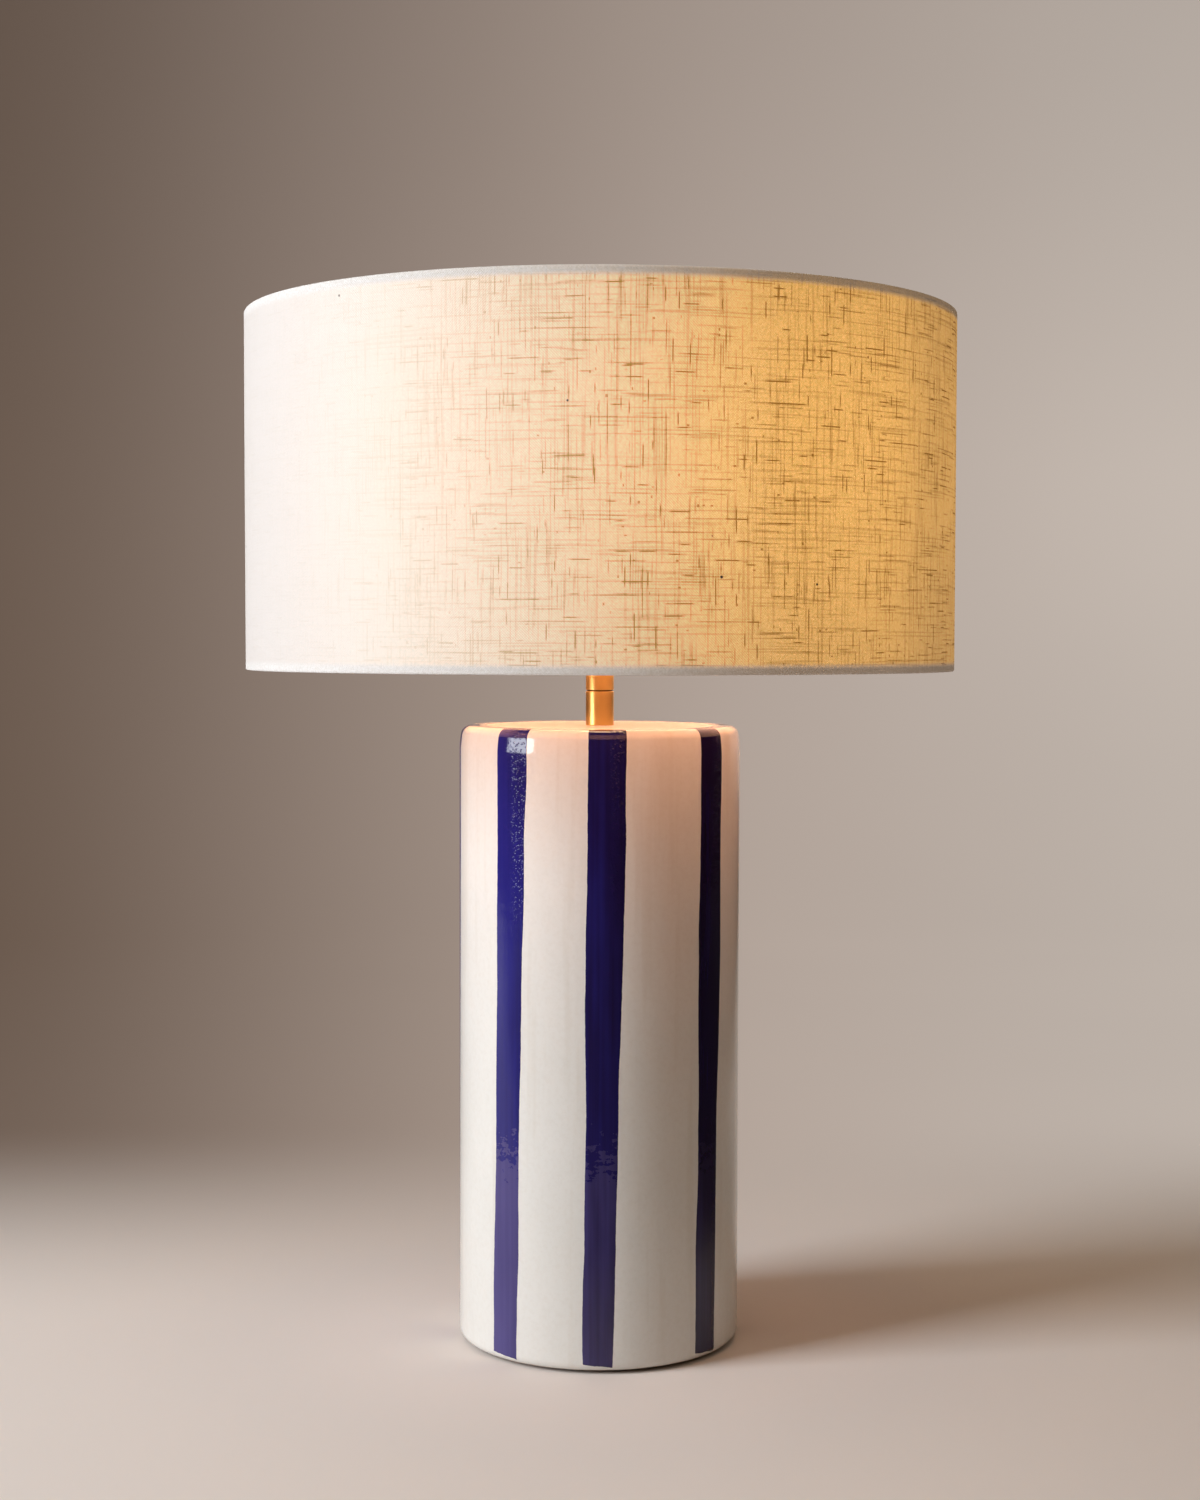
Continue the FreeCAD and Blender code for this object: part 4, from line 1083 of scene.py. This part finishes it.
def make_frame(white):
    """Fitter ring and its three bent arms."""
    edge = 0.45 * MM
    outline = band(20.6 * MM, *span("fitter_ring"), (edge, edge, edge, edge))
    turn_piece("fitter_plate", outline, white, "shade", "white_metal", "fitter_ring")

    wire_radius = 1.75 * MM
    arm_low, arm_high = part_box("spider_arms")
    high_line = arm_high.z - wire_radius
    low_line = arm_low.z + wire_radius
    # from the weld under the plate, out and down to the foot inside the hoop
    corners = [
        (0.0, 24.6 * MM, high_line),
        (0.0, 38.4 * MM, high_line),
        (0.0, 188.9 * MM, low_line),
        (0.0, 196.45 * MM, low_line),
    ]
    path = bpy.data.meshes.new("arm_path")
    path.from_pydata(corners, [(0, 1), (1, 2), (2, 3)], [])
    values = {"Wire": wire_radius, "Bend": 14.0 * MM, "Finish": white}
    mesh = grow("bent_arms", make_arm_tree(), values, path)
    place_piece("bent_arms", mesh, white, "shade", "white_metal", "spider_arms")


def wind_thread(name, finish, body, slot, **sizes):
    """Wind a thread and put it in the scene."""
    mesh = grow(name, THREAD_TREE, {"Finish": finish} | sizes)
    place_piece(name, mesh, finish, body, slot)


def make_holder(plastic):
    """Domed cap and threaded skirt of the lampholder."""
    outer, low, high = span("holder_cap")
    boss = 8.0 * MM
    bore = 5.05 * MM
    boss_top = low + 6.0 * MM
    dome = 10.0 * MM
    wall = 1.6 * MM
    bevel = 0.4 * MM
    ledge = high - 13.0 * MM
    inner = outer - 2 * wall - 0.2 * MM
    outline = [(bore, low), (boss - bevel, low), (boss, low + bevel)]
    outline += arc((boss, boss_top + dome), (outer - boss, dome), -math.pi / 2, 0.0, 12)
    outline += [
        (outer, high - bevel),
        (outer - bevel, high),
        (outer - wall, high),
        (outer - wall, ledge),
        (inner, ledge),
        (inner, boss_top + dome - 1.8 * MM),
        (boss, boss_top + wall),
        (bore, boss_top + wall),
    ]
    turn_piece("holder_dome", outline, plastic, "lamp", "holder_plastic", "holder_cap")

    cap_rim = high
    outer, low, high = span("holder_skirt")
    seat = cap_rim + 2.0 * MM
    spigot = 17.6 * MM
    bead = 0.55 * MM
    thread = 19.3 * MM - bead
    bore = 15.2 * MM
    mouth = 14.4 * MM
    outline = [
        (bore, low, 0.2 * MM),
        (spigot, low, 0.3 * MM),
        (spigot, cap_rim, 0),
        (outer, cap_rim, 0.5 * MM),
        (outer, seat, 0.5 * MM),
        (thread, seat, 0),
        (thread, high, 0.6 * MM),
        (mouth, high, 0.4 * MM),
        (mouth, high - 1.5 * MM, 0.3 * MM),
        (bore, high - 1.5 * MM, 0),
    ]
    turn_piece("holder_sleeve", rounded(outline), plastic, "lamp", "holder_plastic", "holder_skirt")
    sizes = {"Radius": thread, "Pitch": 2.5 * MM, "Turns": 7.0, "Bead": bead, "Foot": seat + 1.5 * MM}
    wind_thread("holder_sleeve_thread", plastic, "lamp", "holder_plastic", **sizes)


def make_fitter_nut(plastic):
    """Threaded ring with finger flutes that holds the shade down."""
    outer, low, high = span("shade_ring")
    collar = 23.0 * MM
    bore = 19.6 * MM
    flange_top = low + 1.8 * MM
    flutes = 16

    def fluted(reach, up, angle):
        """Round hollows down the collar."""
        if reach < collar - 0.9 * MM or up < flange_top + 0.05 * MM or reach > collar + 0.1 * MM:
            return reach
        hollow = max(0.0, math.cos(flutes * (angle - math.pi / 2))) ** 1.5
        return reach - 0.93 * MM * hollow

    outline = [
        (bore, low, 0.2 * MM),
        (outer, low, 0.4 * MM),
        (outer, flange_top, 0.6 * MM),
        (collar, flange_top, 0),
        (collar, flange_top + 0.1 * MM, 0),
        (collar, high, 0.5 * MM),
        (bore, high, 0.4 * MM),
    ]
    mesh = turned_mesh("shade_nut", rounded(outline), even_angles(256), fluted)
    place_piece("shade_nut", mesh, plastic, "shade_ring", "holder_plastic", "shade_ring")


def make_bulb(nickel, opal, brass):
    """Opal bulb with its threaded cap, and the threaded shell that it screws into."""
    outer, low, high = span("bulb_envelope")
    neck = 13.2 * MM
    waist = 38.0 * MM
    glass = 1.0 * MM
    centre = high - outer
    reach = outer + waist
    drop = math.sqrt(reach**2 - (neck + waist) ** 2)
    lean = math.asin(drop / reach)

    def glass_face(inset):
        """Points of one face of the glass from the neck to the crown."""
        hollow = waist + inset
        globe = outer - inset
        throat = arc((neck + waist, centre - drop), (hollow, hollow), math.pi, math.pi - lean, 14)
        crown = arc((0.0, centre), (globe, globe), -lean, math.pi / 2, 30)
        return [Vector((neck - inset, low)), *throat, *crown[1:]]

    outline = glass_face(0.0) + glass_face(glass)[::-1]
    turn_piece("bulb_glass", outline, opal, "bulb", "opal_glass", "bulb_envelope")

    outer, low, high = span("bulb_cap")
    bead = 0.95 * MM
    core = outer - bead
    wall = 0.4 * MM
    outline = [
        (core - wall, low, 0),
        (core, low, 0.3 * MM),
        (core, low + 15.6 * MM, 0.4 * MM),
        (outer, low + 16.8 * MM, 0.6 * MM),
        (outer, high, 0.2 * MM),
        (core - wall, high, 0),
    ]
    turn_piece("bulb_shell", rounded(outline), nickel, "bulb", "nickel", "bulb_cap")
    sizes = {"Radius": core - 0.05 * MM, "Pitch": 3.63 * MM, "Turns": 3.6, "Bead": bead}
    wind_thread("bulb_shell_thread", nickel, "bulb", "nickel", Foot=low + 1.2 * MM, **sizes)

    outer, low, high = span("holder_screw_shell")
    inner = outer - 0.33 * MM
    outline = band(inner - 0.25 * MM, inner, low, high, (0, 0, 0.1 * MM, 0.1 * MM))
    turn_piece("holder_thread_shell", outline, brass, "lamp", "contact_brass", "holder_screw_shell")


def make_cord_bush(plastic):
    """Bush for the supply cord, through the back of the wall."""
    low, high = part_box("cord_gland")
    middle = (low.z + high.z) / 2
    flange = (high.z - low.z) / 2
    bore = 3.5 * MM
    barrel = 5.6 * MM
    seat = high.y - 2.2 * MM
    outline = [
        (bore, low.y, 0.3 * MM),
        (barrel, low.y, 0.5 * MM),
        (barrel, seat, 0),
        (flange, seat, 0.2 * MM),
        (flange, high.y, 1.1 * MM),
        (bore, high.y, 0.7 * MM),
    ]
    mesh = turned_mesh("cord_bush", rounded(outline), even_angles(96))
    # it was turned upright, and lies along Y
    for vertex in mesh.vertices:
        across, deep, up = vertex.co
        vertex.co = (across, up, middle - deep)
    mesh.update()
    place_piece("cord_bush", mesh, plastic, "lamp", "ivory_plastic", "cord_gland")


def dress(finish, *nodes):
    """Give nodes that keep their own shape their finish."""
    for node in nodes:
        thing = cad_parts[node]
        if not thing.material_slots:
            thing.data.materials.append(finish)
        for slot in thing.material_slots:
            slot.material = finish


set_camera()
build_studio()

THREAD_TREE = make_thread_tree()

dull_brass = (0.72, 0.415, 0.115)
bright_brass = (0.92, 0.605, 0.225)
neck_reach = span("neck_lower")[0]
neck_brass = make_turned_metal("satin_brass", dull_brass, bright_brass, 0.31, 5200.0, neck_reach)
contact_brass = make_turned_metal("contact_brass", (0.60, 0.44, 0.18), (0.80, 0.62, 0.30), 0.34, 2600.0)
nickel = make_turned_metal("nickel_plate", (0.60, 0.58, 0.54), (0.78, 0.76, 0.72), 0.22, 3000.0)
zinc = make_turned_metal("zinc_steel", (0.46, 0.46, 0.44), (0.68, 0.68, 0.65), 0.38, 2400.0)
solder = make_turned_metal("solder", (0.48, 0.48, 0.47), (0.70, 0.70, 0.69), 0.36, 900.0)
white_plastic = make_moulded("white_thermoset", (0.76, 0.745, 0.70), (0.84, 0.83, 0.79), 0.34, 0.03 * MM)
ivory_plastic = make_moulded("ivory_plastic", (0.70, 0.66, 0.57), (0.78, 0.75, 0.67), 0.40, 0.03 * MM)
porcelain = make_moulded("porcelain", (0.78, 0.76, 0.71), (0.87, 0.86, 0.82), 0.22, 0.04 * MM)
powder_coat = make_moulded(
    "white_powder_coat", (0.77, 0.76, 0.73), (0.86, 0.855, 0.83), 0.45, 0.06 * MM
)
rubber = make_moulded("black_rubber", (0.018, 0.018, 0.018), (0.045, 0.044, 0.043), 0.72, 0.05 * MM)
black_glass = make_moulded("black_glass", (0.010, 0.010, 0.013), (0.028, 0.028, 0.034), 0.12, 0.01 * MM)
opal = make_opal_glass()
_, shade_low, shade_high = span("shade_fabric")
linen = make_shade_linen(shade_low, shade_high)
lining = make_shade_lining()

make_ceramic()
make_neck(neck_brass)
make_felt_pad()
make_shade(linen, lining)
make_frame(powder_coat)
make_holder(white_plastic)
make_fitter_nut(white_plastic)
make_bulb(nickel, opal, contact_brass)
make_cord_bush(ivory_plastic)

dress(zinc, "threaded_tube", "stem_washer", "lock_washer", "clamp_nut", "holder_grub_screw")
dress(rubber, "stem_gasket")
dress(ivory_plastic, "gland_nut")
dress(porcelain, "holder_core")
dress(contact_brass, "terminal_screws", "centre_contact")
dress(solder, "bulb_contact")
dress(black_glass, "bulb_insulator")
dress(powder_coat, "bottom_ring", "top_ring")
